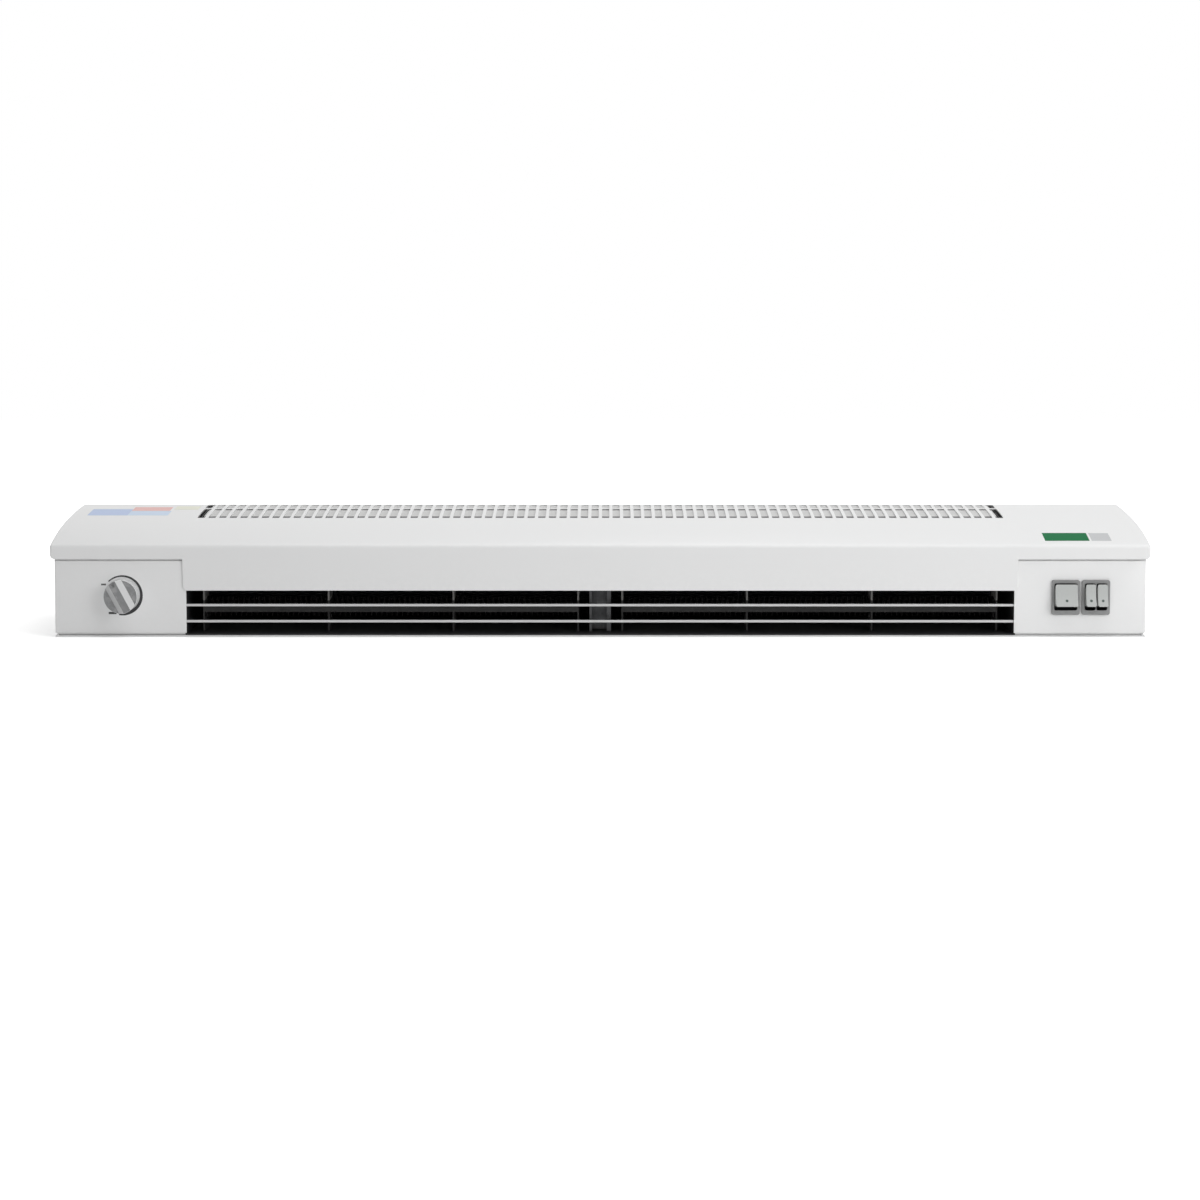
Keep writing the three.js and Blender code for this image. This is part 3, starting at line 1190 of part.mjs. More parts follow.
function assembly() {
  const { loom, notch } = wiringLoom();
  const shaftClear = COUPLING_RADIUS + SHAFT_OPENING_CLEARANCE;
  const bearingClear = BEARING_RADIUS + 2 * SEAT + BEARING_WALL;
  const unit = new THREE.Group();
  unit.add(
    frontCover(),
    backPlate(),
    leftEndBox(),
    rightEndBox(),
    mesh("left_bulkhead", mirrored(cut(bulkhead(shaftClear), notch)), DARK_DUCT),
    mesh("right_bulkhead", cut(bulkhead(bearingClear), notch), DARK_DUCT),
    scroll(),
    stabiliser(),
    centreBracket(),
    blade("upper_blade", UPPER_BLADE_HEIGHT),
    blade("lower_blade", LOWER_BLADE_HEIGHT),
    ...pair("heater_frame", heaterFrame(), MICA),
    ...pair("heater_element", heaterRibbon(), HEATING_ALLOY),
    ...pair("thermal_cutout", thermalCutout(), BLACK_PLASTIC),
    turningParts(),
    fixedAxisParts(),
    motorBracket(),
    thermostatParts(),
    sensingBulb(),
    switches(),
    terminalBlock(),
    relay(),
    capacitor(),
    ...cableGland(),
    earthStud(),
    loom,
    screws(),
  );
  return unit;
}

export default assembly();
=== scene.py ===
"""Looks of a wall air curtain with a heater, lying on its back plate.

Metres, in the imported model's frame: X along the unit, Y from the outlet side to the rear side, Z away from the
wall. Shapes are drawn in millimetres and scaled once, in piece().
"""

import math

import bmesh
import bpy
from mathutils import Matrix, Vector


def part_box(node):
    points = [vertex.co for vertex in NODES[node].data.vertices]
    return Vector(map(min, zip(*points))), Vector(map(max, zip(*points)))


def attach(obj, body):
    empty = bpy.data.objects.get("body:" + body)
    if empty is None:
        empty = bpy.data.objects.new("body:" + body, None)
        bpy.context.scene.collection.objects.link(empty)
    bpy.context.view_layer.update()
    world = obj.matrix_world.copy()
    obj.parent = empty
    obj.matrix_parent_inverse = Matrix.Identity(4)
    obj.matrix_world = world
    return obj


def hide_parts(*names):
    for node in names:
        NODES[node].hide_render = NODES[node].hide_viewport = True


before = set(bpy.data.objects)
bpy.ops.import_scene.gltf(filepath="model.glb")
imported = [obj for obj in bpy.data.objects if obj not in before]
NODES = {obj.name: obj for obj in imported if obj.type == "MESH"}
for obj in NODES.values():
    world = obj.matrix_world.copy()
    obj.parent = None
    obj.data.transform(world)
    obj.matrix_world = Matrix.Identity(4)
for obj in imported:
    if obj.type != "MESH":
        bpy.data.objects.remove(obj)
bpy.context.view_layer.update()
MM = 0.001
NEAR = 0.01  # what counts as the same place when points are picked, in millimetres
MERGE = 0.002  # points this close are merged, in millimetres
FLAT_ANGLE = math.radians(0.5)  # faces that meet at less than this lie in one plane


def node_box(name):
    """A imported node's lowest and highest corners, in millimetres."""
    low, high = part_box(name)
    return low / MM, high / MM


# ---------------------------------------------------------------- sizes, in millimetres

COVER_LOW, COVER_HIGH = node_box("front_cover")
BOX_LOW, BOX_HIGH = node_box("right_end_box")
KNOB_LOW, KNOB_HIGH = node_box("knob")

COVER_END = COVER_HIGH.x
FRONT = COVER_LOW.y
REAR = COVER_HIGH.y
ROOF_TOP = COVER_HIGH.z
OUTLET_TOP = COVER_LOW.z
COVER_SHEET = 1.0
LIP_TOP = 81.0
LIP_HEIGHT = 9.6
LIP_FOOT = LIP_TOP - LIP_HEIGHT  # the lip's lower edge
FRONT_BEND = 4.0
FRONT_BEND_ANGLE = 72
REAR_BEND = 3.0
ROOF_CROWN = (FRONT + 55, LIP_TOP + 20.5)
CORNER_BEND = 1.8
FLANGE_END = BOX_LOW.x + 3.5
FLANGE_CHAMFER = 3.5
FLANGE_TURN = 1.5  # radius of the flange's turned-in ends
LIP_CORNER = 4.5  # radius of the lip's lower corners, at the cover's ends
SLOT_COUNT = 76
SLOT_PITCH = 10.0
SLOT_WIDTH = 6.8
SLOT_CORNER = 1.3
SLOT_ROWS = ((REAR - 79.0, REAR - 30.5), (REAR - 27.0, REAR - 5.0))
PANEL = BOX_LOW.y  # front face of the end boxes
EDGE = 0.22  # usual easing of a sheet's edge

KNOB_CENTRE = (KNOB_LOW + KNOB_HIGH) / 2
KNOB_RADIUS = (KNOB_HIGH.x - KNOB_LOW.x) / 2
KNOB_FACE = KNOB_LOW.y
KNOB_SHOULDER = 12.0  # from the panel to the drum's face
KNOB_LIFT = 0.8  # gap between the panel and the knob
GRIP_TOP_HALF = 3.5
GRIP_ROOT_HALF = 8.3
NOTCH_LENGTH, NOTCH_HALF, NOTCH_DEPTH = 4.6, 3.2, 1.6
KNOB_STEPS = 96
# The knob faces these pick take paler finishes: painted highlight.
RIM_MARGIN = 0.3  # a side face of the knob lies this near its radius
RIM_FACING = 0.3  # and faces out of the panel by no more than this
GRIP_FACING = (0.5, 0.9)  # how far the grip's slopes face out of the panel
POINTER_TILT = 28.0


# ---------------------------------------------------------------- shader node groups

MIX_FACTOR, MIX_FIRST, MIX_SECOND, MIX_RESULT = 0, 6, 7, 2  # places of a colour mix's sockets
SURFACE_RESULTS = [("Colour", "Color"), ("Roughness", "Float"), ("Height", "Float")]
MID_GREY = (0.6, 0.6, 0.6, 1)


def socket(group, name, kind, default=None, output=False):
    in_out = "OUTPUT" if output else "INPUT"
    made = group.interface.new_socket(name, in_out=in_out, socket_type="NodeSocket" + kind)
    if default is not None:
        made.default_value = default


def node(tree, kind, inputs=(), **settings):
    """A node with its settings made and its inputs filled, each with a value or with a socket to link."""
    made = tree.nodes.new(kind)
    for key, value in settings.items():
        setattr(made, key, value)
    for place, value in dict(inputs).items():
        if isinstance(value, bpy.types.NodeSocket):
            tree.links.new(value, made.inputs[place])
        else:
            made.inputs[place].default_value = value
    return made


def math_node(tree, operation, first, second, clamp=False):
    return node(tree, "ShaderNodeMath", {0: first, 1: second}, operation=operation, use_clamp=clamp).outputs[0]


def mix_colours(tree, factor, first, second):
    inputs = {MIX_FACTOR: factor, MIX_FIRST: first, MIX_SECOND: second}
    return node(tree, "ShaderNodeMix", inputs, data_type="RGBA").outputs[MIX_RESULT]


def ramp(tree, value, low, high):
    """Zero up to the low value, one from the high value on."""
    return node(tree, "ShaderNodeMapRange", {"Value": value, "From Min": low, "From Max": high}).outputs[0]


def object_coordinates(tree):
    return tree.nodes.new("ShaderNodeTexCoord").outputs["Object"]


def noise(tree, scale, detail=2.0):
    inputs = {"Vector": object_coordinates(tree), "Scale": scale, "Detail": detail}
    return node(tree, "ShaderNodeTexNoise", inputs).outputs[0]


def shaded(tree, colour, centred, amount):
    """A colour made lighter and darker by a value that is centred on zero."""
    level = math_node(tree, "ADD", math_node(tree, "MULTIPLY", centred, amount), 1.0)
    return node(tree, "ShaderNodeVectorMath", {0: colour, "Scale": level}, operation="SCALE").outputs[0]


def shader_group(name, inputs, outputs):
    """A new shader node group, the outputs of its input node by name, and its output node."""
    group = bpy.data.node_groups.new(name, "ShaderNodeTree")
    for label, kind, default in inputs:
        socket(group, label, kind, default)
    for label, kind in outputs:
        socket(group, label, kind, output=True)
    return group, group.nodes.new("NodeGroupInput").outputs, group.nodes.new("NodeGroupOutput")


def give_out(group, out, **results):
    for name, result in results.items():
        group.links.new(result, out.inputs[name])
    return group


def mottle_group():
    """Slow and fine variation of a coloured, slightly rough surface."""
    group, given, out = shader_group(
        "Mottled surface",
        [("Colour", "Color", MID_GREY), ("Shade", "Float", 0.05), ("Cloud scale", "Float", 12.0),
         ("Grain scale", "Float", 900.0), ("Roughness", "Float", 0.5), ("Roughness spread", "Float", 0.08)],
        SURFACE_RESULTS)
    cloud = noise(group, given["Cloud scale"], detail=4.0)
    grain = noise(group, given["Grain scale"], detail=3.0)
    centred = math_node(group, "SUBTRACT", math_node(group, "ADD", cloud, grain), 1.0)
    spread = math_node(group, "MULTIPLY", centred, given["Roughness spread"])
    return give_out(group, out, Colour=shaded(group, given["Colour"], centred, given["Shade"]),
                    Roughness=math_node(group, "ADD", given["Roughness"], spread, clamp=True), Height=grain)


def edge_mask_group():
    """A mask of convex edges, broken up by noise, for scuffs and for painted highlight."""
    group, given, out = shader_group(
        "Scuffed and highlighted edges", [("Amount", "Float", 0.5), ("Break-up scale", "Float", 220.0)], [("Mask", "Float")])
    point = group.nodes.new("ShaderNodeNewGeometry").outputs["Pointiness"]
    edge = ramp(group, point, low=0.52, high=0.62)
    broken = ramp(group, noise(group, given["Break-up scale"]), low=0.45, high=0.6)
    mask = math_node(group, "MULTIPLY", edge, broken)
    return give_out(group, out, Mask=math_node(group, "MULTIPLY", mask, given["Amount"]))


def dust_group():
    """A mask of fine dust on what faces away from the wall."""
    group, given, out = shader_group(
        "Settled dust", [("Amount", "Float", 0.2), ("Patch scale", "Float", 35.0)], [("Mask", "Float")])
    normal = group.nodes.new("ShaderNodeNewGeometry").outputs["Normal"]
    flat = ramp(group, node(group, "ShaderNodeSeparateXYZ", {0: normal}).outputs["Z"], low=0.3, high=1.0)
    patch = ramp(group, noise(group, given["Patch scale"], detail=6.0), low=0.35, high=0.7)
    mask = math_node(group, "MULTIPLY", flat, patch)
    return give_out(group, out, Mask=math_node(group, "MULTIPLY", mask, given["Amount"]))


def spangle_group(roughness=0.3, spread=0.16):
    """The crystal pattern of hot-dip galvanised sheet."""
    group, given, out = shader_group(
        "Zinc spangle",
        [("Colour", "Color", MID_GREY), ("Crystal scale", "Float", 220.0), ("Contrast", "Float", 0.3)],
        SURFACE_RESULTS)
    inputs = {"Vector": object_coordinates(group), "Scale": given["Crystal scale"]}
    cells = node(group, "ShaderNodeTexVoronoi", inputs).outputs
    tone = node(group, "ShaderNodeSeparateColor", {0: cells["Color"]}).outputs["Red"]
    centred = math_node(group, "SUBTRACT", tone, 0.5)
    return give_out(group, out, Colour=shaded(group, given["Colour"], centred, given["Contrast"]),
                    Roughness=math_node(group, "ADD", math_node(group, "MULTIPLY", tone, spread), roughness),
                    Height=cells["Distance"])


def tool_mark_group():
    """Fine turning or drawing marks, drawn out along one axis by the stretch of their coordinates."""
    group, given, out = shader_group(
        "Tool marks",
        [("Colour", "Color", MID_GREY), ("Stretch", "Vector", (300, 4000, 4000)),
         ("Roughness", "Float", 0.3), ("Contrast", "Float", 0.15)],
        SURFACE_RESULTS)
    stretched = node(group, "ShaderNodeVectorMath", {0: object_coordinates(group), 1: given["Stretch"]},
                     operation="MULTIPLY").outputs[0]
    inputs = {"Vector": stretched, "Scale": 1.0, "Detail": 5.0}
    marks = node(group, "ShaderNodeTexNoise", inputs).outputs[0]
    centred = math_node(group, "SUBTRACT", marks, 0.5)
    spread = math_node(group, "MULTIPLY", centred, given["Contrast"])
    return give_out(group, out, Colour=shaded(group, given["Colour"], centred, given["Contrast"]),
                    Roughness=math_node(group, "ADD", given["Roughness"], spread, clamp=True), Height=marks)


MOTTLE = mottle_group()
EDGE_SCUFF_AND_HIGHLIGHT = edge_mask_group()
DUST = dust_group()
SPANGLE = spangle_group()
TOOL_MARKS = tool_mark_group()


# ---------------------------------------------------------------- materials

DUST_COLOUR = (0.42, 0.40, 0.37, 1)


def use_group(tree, group, **values):
    """A group placed in a material. In its inputs' names, spaces are written as underscores."""
    inputs = {key.replace("_", " "): value for key, value in values.items()}
    return node(tree, "ShaderNodeGroup", inputs, node_tree=group).outputs


def base_material(name, metallic=0.0, **sockets):
    made = bpy.data.materials.new(name)
    made.use_nodes = True
    shader = made.node_tree.nodes["Principled BSDF"]
    shader.inputs["Metallic"].default_value = metallic
    for key, value in sockets.items():
        shader.inputs[key.replace("_", " ")].default_value = value
    return made, made.node_tree, shader


def join_surface(tree, shader, paint, surface, bump):
    """Links a colour, and a surface's roughness and height, to a shader. The bump's depth is in metres."""
    tree.links.new(paint, shader.inputs["Base Color"])
    tree.links.new(surface["Roughness"], shader.inputs["Roughness"])
    relief = node(tree, "ShaderNodeBump", {"Height": surface["Height"], "Strength": 1.0, "Distance": bump})
    tree.links.new(relief.outputs[0], shader.inputs["Normal"])


def scuffed_and_highlighted(tree, paint, amount, colour):
    """A colour with another at its convex edges: scuffed wear, and painted highlight where the other is paler."""
    return mix_colours(tree, use_group(tree, EDGE_SCUFF_AND_HIGHLIGHT, Amount=amount)["Mask"], paint, (*colour, 1)) if amount else paint


def coloured(name, colour, roughness, shade=0.03, spread=0.08, cloud=9.0, grain=700.0, bump=4e-6,
             metallic=0.0, edge_scuff_and_highlight=0.0, edge_colour=(0.6, 0.6, 0.6), dust=0.0, **sockets):
    """A painted, moulded or cast surface: mottled, with its convex edges in another colour (scuffed wear and
    painted highlight) and a little dust.
    """
    made, tree, shader = base_material(name, metallic, **sockets)
    surface = use_group(tree, MOTTLE, Colour=(*colour, 1), Shade=shade, Cloud_scale=cloud, Grain_scale=grain,
                        Roughness=roughness, Roughness_spread=spread)
    paint = scuffed_and_highlighted(tree, surface["Colour"], edge_scuff_and_highlight, edge_colour)
    if dust:
        paint = mix_colours(tree, use_group(tree, DUST, Amount=dust)["Mask"], paint, DUST_COLOUR)
    join_surface(tree, shader, paint, surface, bump)
    made.diffuse_color = (*colour, 1)
    return made


def galvanised(name, colour, crystal=220.0, contrast=0.3, bump=3e-6):
    made, tree, shader = base_material(name, metallic=0.85)
    surface = use_group(tree, SPANGLE, Colour=(*colour, 1), Crystal_scale=crystal, Contrast=contrast)
    join_surface(tree, shader, surface["Colour"], surface, bump)
    return made


def machined(name, colour, roughness=0.3, stretch=(300, 4000, 4000), contrast=0.25, metallic=1.0, edge_scuff_and_highlight=0.0,
             edge_colour=(0.8, 0.8, 0.8), bump=4e-6):
    """Bare metal with the marks of its making, finest across the axis of the smallest stretch."""
    made, tree, shader = base_material(name, metallic)
    surface = use_group(tree, TOOL_MARKS, Colour=(*colour, 1), Stretch=stretch, Roughness=roughness,
                        Contrast=contrast)
    join_surface(tree, shader, scuffed_and_highlighted(tree, surface["Colour"], edge_scuff_and_highlight, edge_colour), surface, bump)
    return made


def film(name, colour, roughness=0.35, shade=0.04):
    """A plain sticker's film, with little gloss of its own."""
    return coloured(name, colour, roughness, shade, cloud=70, grain=1200, bump=3e-6, Specular_IOR_Level=0.1)


# Its edge colour is whiter than the paint: the convex edges carry a painted highlight, not wear.
POWDER_COAT = coloured("White powder coat", (0.82, 0.823, 0.823), 0.33, shade=0.012, grain=650, bump=9e-6,
                       edge_scuff_and_highlight=0.25, edge_colour=(0.88, 0.88, 0.88))
# The blades' white paint, made greyer than the body's: painted shade.
GREYED_BLADE_PAINT = coloured("Greyed blade paint (painted shade)", (0.66, 0.665, 0.665), 0.36, shade=0.02, bump=6e-6)
DARK_SHEET = coloured("Matt black sheet", (0.012, 0.012, 0.013), 0.6, shade=0.2, cloud=30, grain=900, bump=8e-6,
                      edge_scuff_and_highlight=0.3, edge_colour=(0.08, 0.08, 0.08), dust=0.02)
# Far darker than bare zinc: painted shade of the outlet's inside.
DARKENED_ZINC = galvanised("Darkened galvanised sheet (painted shade)", (0.06, 0.061, 0.063))
SILVER_PLASTIC = coloured("Silver-grey plastic", (0.21, 0.212, 0.216), 0.36, shade=0.05, cloud=60, grain=2500,
                          bump=3e-6, metallic=0.15, edge_scuff_and_highlight=0.3, edge_colour=(0.5, 0.5, 0.5))
# Paler copies of the knob's plastic for the drum's side and the grip's slopes: painted highlight.
RIM_HIGHLIGHT = coloured("Knob rim, painted highlight", (0.85, 0.855, 0.86), 0.25, shade=0.03, cloud=60, grain=2500,
                      bump=2e-6, metallic=0.2)
GRIP_SLOPE_HIGHLIGHT = coloured("Grip slopes, painted highlight", (0.50, 0.503, 0.506), 0.3, shade=0.04, cloud=60, grain=2500,
                     bump=2e-6, metallic=0.15)
BEZEL_GREY = coloured("Grey moulded plastic", (0.24, 0.243, 0.243), 0.45, shade=0.05, grain=1800, bump=1.2e-5,
                      edge_scuff_and_highlight=0.4, edge_colour=(0.4, 0.4, 0.4))
ROCKER_GREY = coloured("Pale grey satin plastic", (0.47, 0.485, 0.475), 0.28, shade=0.03, grain=2200, bump=3e-6,
                       edge_scuff_and_highlight=0.3, edge_colour=(0.62, 0.63, 0.62))
BLACK_PLASTIC = coloured("Black moulded plastic", (0.02, 0.02, 0.022), 0.45, shade=0.1, grain=1500, bump=8e-6,
                         edge_scuff_and_highlight=0.4, edge_colour=(0.10, 0.10, 0.10))
WHITE_PLASTIC = coloured("White moulded plastic", (0.70, 0.70, 0.685), 0.42, shade=0.03, grain=1500, bump=6e-6)
RUBBER = coloured("Black rubber", (0.022, 0.022, 0.022), 0.8, shade=0.15, grain=1400, bump=1.5e-5, dust=0.1)
LACQUERED_STEEL = coloured("Lacquered motor steel", (0.045, 0.047, 0.05), 0.4, shade=0.1, bump=8e-6, metallic=0.5,
                           edge_scuff_and_highlight=0.6, edge_colour=(0.3, 0.3, 0.3))
# A darker copy of the mica board, for the supports' lower parts.
DARK_MICA = coloured("Dark mica board", (0.012, 0.0115, 0.011), 0.6, shade=0.35, cloud=160, grain=2600,
                         bump=1.5e-5, spread=0.3)
MICA = coloured("Pressed mica board", (0.30, 0.295, 0.28), 0.5, shade=0.35, cloud=160, grain=2600, bump=1.5e-5,
                spread=0.3)
ALUMINIUM = machined("Mill-finish aluminium", (0.62, 0.63, 0.64), 0.36)
ROTOR_METAL = machined("Dulled rotor aluminium", (0.20, 0.20, 0.205), 0.5, metallic=0.9)
ZINC_PLATE = machined("Bright zinc plate", (0.62, 0.63, 0.64), 0.28, edge_scuff_and_highlight=0.4)
BRASS = machined("Turned brass", (0.70, 0.50, 0.22), 0.25, (4000, 300, 300))
# The oxide's dark grey, darkened further: painted shade of the outlet's inside.
DARKENED_RIBBON_ALLOY = machined("Oxidised ribbon, darkened as painted shade", (0.030, 0.029, 0.028), 0.55, (2500, 300, 300), 0.5)
COPPER = machined("Drawn copper", (0.75, 0.38, 0.24), 0.3, (4000, 300, 4000))
PALE_SLOT_BACKING = coloured("Pale slot backing (painted light)", (0.66, 0.66, 0.655), 0.9, shade=0.22, cloud=500, grain=3500,
                         bump=6e-5, spread=0.1)
INK = coloured("Black print", (0.022, 0.022, 0.024), 0.55, shade=0.2, grain=3000, bump=2e-6)
GREY_INK = coloured("Grey print", (0.10, 0.10, 0.10), 0.55, shade=0.2, grain=3000, bump=2e-6)
BLUE_FILM = film("Pale blue film", (0.50, 0.60, 0.83))
LIGHT_BLUE_FILM = film("Light blue film", (0.62, 0.74, 0.90))
RED_FILM = film("Pale red film", (0.84, 0.50, 0.47))
CREAM_FILM = film("Cream film", (0.82, 0.82, 0.70), shade=0.03)
GREEN_FILM = film("Green film", (0.006, 0.145, 0.05), roughness=0.6, shade=0.06)
GREY_FILM = film("Grey film", (0.55, 0.56, 0.57))
DOT_GREEN = coloured("Dark grey-green mark", (0.06, 0.085, 0.075), 0.3, shade=0.1, grain=2500, bump=2e-6)


# ---------------------------------------------------------------- making pieces

def as_object(name, shape):
    """A new object in the scene that holds a bmesh's shape. The bmesh is freed."""
    mesh = bpy.data.meshes.new(name)
    shape.to_mesh(mesh)
    shape.free()
    made = bpy.data.objects.new(name, mesh)
    bpy.context.scene.collection.objects.link(made)
    return made


def evaluated(made):
    """An object's shape with its modifiers carried out, as a bmesh."""
    graph = bpy.context.evaluated_depsgraph_get()
    result = bmesh.new()
    result.from_mesh(bpy.data.meshes.new_from_object(made.evaluated_get(graph)))
    return result


def piece(name, shape, finish, body="casing", replaces=(), smooth=40.0):
    """A piece from a bmesh drawn in millimetres. Edges sharper than the smooth angle stay crisp."""
    bmesh.ops.scale(shape, vec=(MM, MM, MM), verts=shape.verts)
    shape.normal_update()
    for face in shape.faces:
        face.smooth = True
    for edge in shape.edges:
        edge.smooth = len(edge.link_faces) == 2 and edge.calc_face_angle(0) < math.radians(smooth)
    made = as_object(name, shape)
    for material in finish if isinstance(finish, tuple) else (finish,):
        made.data.materials.append(material)
    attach(made, body)
    if replaces:
        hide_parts(replaces)
    return made


def eased(made, width=EDGE, segments=2, angle=38.0):
    """A bevel on every sharp edge, with flat faces kept flat. The width is in millimetres."""
    bevel = made.modifiers.new("Eased edges", "BEVEL")
    bevel.width = width * MM
    bevel.segments = segments
    bevel.limit_method = "ANGLE"
    bevel.angle_limit = math.radians(angle)
    bevel.use_clamp_overlap = False
    bevel.harden_normals = True
    return made


def tidied(shape, merge=MERGE):
    """Merges points that coincide, and joins faces that lie in one plane."""
    bmesh.ops.remove_doubles(shape, verts=shape.verts, dist=merge)
    bmesh.ops.dissolve_limit(shape, angle_limit=FLAT_ANGLE, verts=shape.verts, edges=shape.edges)
    return shape


def node_shape(name):
    """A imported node's shape as a clean bmesh, in millimetres."""
    shape = bmesh.new()
    shape.from_mesh(NODES[name].data)
    bmesh.ops.scale(shape, vec=(1 / MM,) * 3, verts=shape.verts)
    return tidied(shape)


def dressed(name, finish, width=EDGE, body="casing"):
    """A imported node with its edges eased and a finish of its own."""
    return eased(piece(name + "_finished", node_shape(name), finish, body, name), width)


def cut_across(shape, axis, place):
    """Divides a shape's faces where a plane across an axis meets them, and keeps both sides."""
    normal = Vector({"x": (1, 0, 0), "z": (0, 0, 1)}[axis])
    everything = [*shape.verts, *shape.edges, *shape.faces]
    bmesh.ops.bisect_plane(shape, geom=everything, plane_co=normal * place, plane_no=normal, dist=NEAR)


def prism(shape, outline, axis, start, end):
    """Adds an outline of (a, b) points, extruded along an axis. The outline runs (Y, Z), (X, Z) or (X, Y)."""
    order = {"x": lambda a, b, c: (c, a, b), "y": lambda a, b, c: (a, c, b), "z": lambda a, b, c: (a, b, c)}[axis]
    ends = [[shape.verts.new(order(a, b, c)) for a, b in outline] for c in (start, end)]
    count = len(outline)
    faces = [shape.faces.new(ends[0]), shape.faces.new(ends[1])]
    faces += [
        shape.faces.new((ends[0][i], ends[0][(i + 1) % count], ends[1][(i + 1) % count], ends[1][i]))
        for i in range(count)
    ]
    bmesh.ops.recalc_face_normals(shape, faces=faces)
    return faces


def arc(centre, radius, start, end, steps):
    angles = [math.radians(start + (end - start) * i / steps) for i in range(steps + 1)]
    return [(centre[0] + radius * math.cos(a), centre[1] + radius * math.sin(a)) for a in angles]


def circle(radius, steps, centre=(0, 0)):
    return arc(centre, radius, 0, 360, steps)[:-1]


def rounded_rectangle(width, height, radius, centre=(0, 0), steps=5):
    corners = ((1, 1, 0), (-1, 1, 90), (-1, -1, 180), (1, -1, 270))
    points = []
    for side_a, side_b, start in corners:
        middle = (centre[0] + side_a * (width / 2 - radius), centre[1] + side_b * (height / 2 - radius))
        points += arc(middle, radius, start, start + 90, steps)
    return points


def boolean(shape_a, shape_b, operation):
    """The union, difference or intersection of two bmeshes, as a bmesh."""
    first, second = as_object("first", shape_a), as_object("second", shape_b)
    cutter = first.modifiers.new("cut", "BOOLEAN")
    cutter.operation = operation
    cutter.solver = "EXACT"
    cutter.object = second
    result = evaluated(first)
    for made in (first, second):
        bpy.data.objects.remove(made)
    return tidied(result, MERGE / 2)


# ---------------------------------------------------------------- geometry node trees

def geometry_tree(name, inputs):
    tree = bpy.data.node_groups.new(name, "GeometryNodeTree")
    socket(tree, "Geometry", "Geometry")
    for label, kind in inputs:
        socket(tree, label, kind)
    socket(tree, "Geometry", "Geometry", output=True)
    return tree, tree.nodes.new("NodeGroupInput").outputs, tree.nodes.new("NodeGroupOutput")


def close_tree(tree, given, out, geometry):
    """Ends a tree with Realize Instances, Merge by Distance and Set Material."""
    real = node(tree, "GeometryNodeRealizeInstances", {0: geometry}).outputs[0]
    merged = node(tree, "GeometryNodeMergeByDistance", {0: real, "Distance": MERGE}).outputs[0]
    finished = node(tree, "GeometryNodeSetMaterial", {0: merged, "Material": given["Finish"]}).outputs[0]
    tree.links.new(finished, out.inputs[0])
    return tree


def row_tree():
    """Repeats a shape along X, centred on where it was drawn."""
    tree, given, out = geometry_tree("Row", [("Count", "Int"), ("Pitch", "Float"), ("Finish", "Material")])
    steps = math_node(tree, "SUBTRACT", given["Count"], 1.0)
    first = math_node(tree, "MULTIPLY", math_node(tree, "MULTIPLY", steps, given["Pitch"]), -0.5)
    start = node(tree, "ShaderNodeCombineXYZ", {"X": first}).outputs[0]
    step = node(tree, "ShaderNodeCombineXYZ", {"X": given["Pitch"]}).outputs[0]
    line = node(tree, "GeometryNodeMeshLine", {"Count": given["Count"], "Start Location": start, "Offset": step})
    copies = node(tree, "GeometryNodeInstanceOnPoints", {"Points": line.outputs[0], "Instance": given["Geometry"]})
    return close_tree(tree, given, out, copies.outputs[0])


def wheel_tree():
    """Repeats a shape round the X axis."""
    tree, given, out = geometry_tree("Wheel", [("Count", "Int"), ("Finish", "Material")])
    points = node(tree, "GeometryNodePoints", {"Count": given["Count"]}).outputs[0]
    index = tree.nodes.new("GeometryNodeInputIndex").outputs[0]
    turn = math_node(tree, "DIVIDE", math_node(tree, "MULTIPLY", index, 2 * math.pi), given["Count"])
    rotation = node(tree, "ShaderNodeCombineXYZ", {"X": turn}).outputs[0]
    copies = node(tree, "GeometryNodeInstanceOnPoints",
                  {"Points": points, "Instance": given["Geometry"], "Rotation": rotation})
    return close_tree(tree, given, out, copies.outputs[0])


def run_tree(shape, tree, **values):
    """Runs a tree on a bmesh, and gives its result as a bmesh."""
    seed = as_object("seed", shape)
    modifier = seed.modifiers.new("tree", "NODES")
    modifier.node_group = tree
    for item in tree.interface.items_tree:
        if item.in_out == "INPUT" and item.name in values:
            modifier[item.identifier] = values[item.name]
    result = evaluated(seed)
    seed.modifiers.clear()
    bpy.data.objects.remove(seed)
    return result


ROW = row_tree()
WHEEL = wheel_tree()


# ---------------------------------------------------------------- cover

FRONT_BEND_STEPS, REAR_BEND_STEPS = 8, 6
ROOF_START = arc((FRONT + FRONT_BEND, LIP_TOP), FRONT_BEND, 180, 180 - FRONT_BEND_ANGLE, FRONT_BEND_STEPS)
ROOF_END = (REAR - REAR_BEND, ROOF_TOP)
FORE_STEPS = 12  # rows of points before the slots, less one
ROW_STEP = 8.0  # usual distance between rows of points along a slot
PLAIN_STEPS, CORNER_STEPS = 6, 3  # columns of points beside the slots, and over the lip's rounded corner
CORNER_BEND_ANGLES = (18, 36, 54, 72, 90)
SLOT_CORNER_ANGLES = (0, 30, 60, 90)
TURN_SHARES = (0.2, 0.4, 0.7, 1.0)  # where the flange's turned ends have a line of points


def roof_height(y):
    """Height of the roof's outer face at a given Y, on the parabola from the front bend to the rear one."""
    (y0, z0), (y1, z1), (y2, z2) = ROOF_START[-1], ROOF_CROWN, ROOF_END
    bend = y0 - 2 * y1 + y2
    run = 2 * (y1 - y0)
    t = 2 * (y - y0) / (run + math.sqrt(run * run + 4 * bend * (y - y0)))
    return (1 - t) ** 2 * z0 + 2 * t * (1 - t) * z1 + t * t * z2


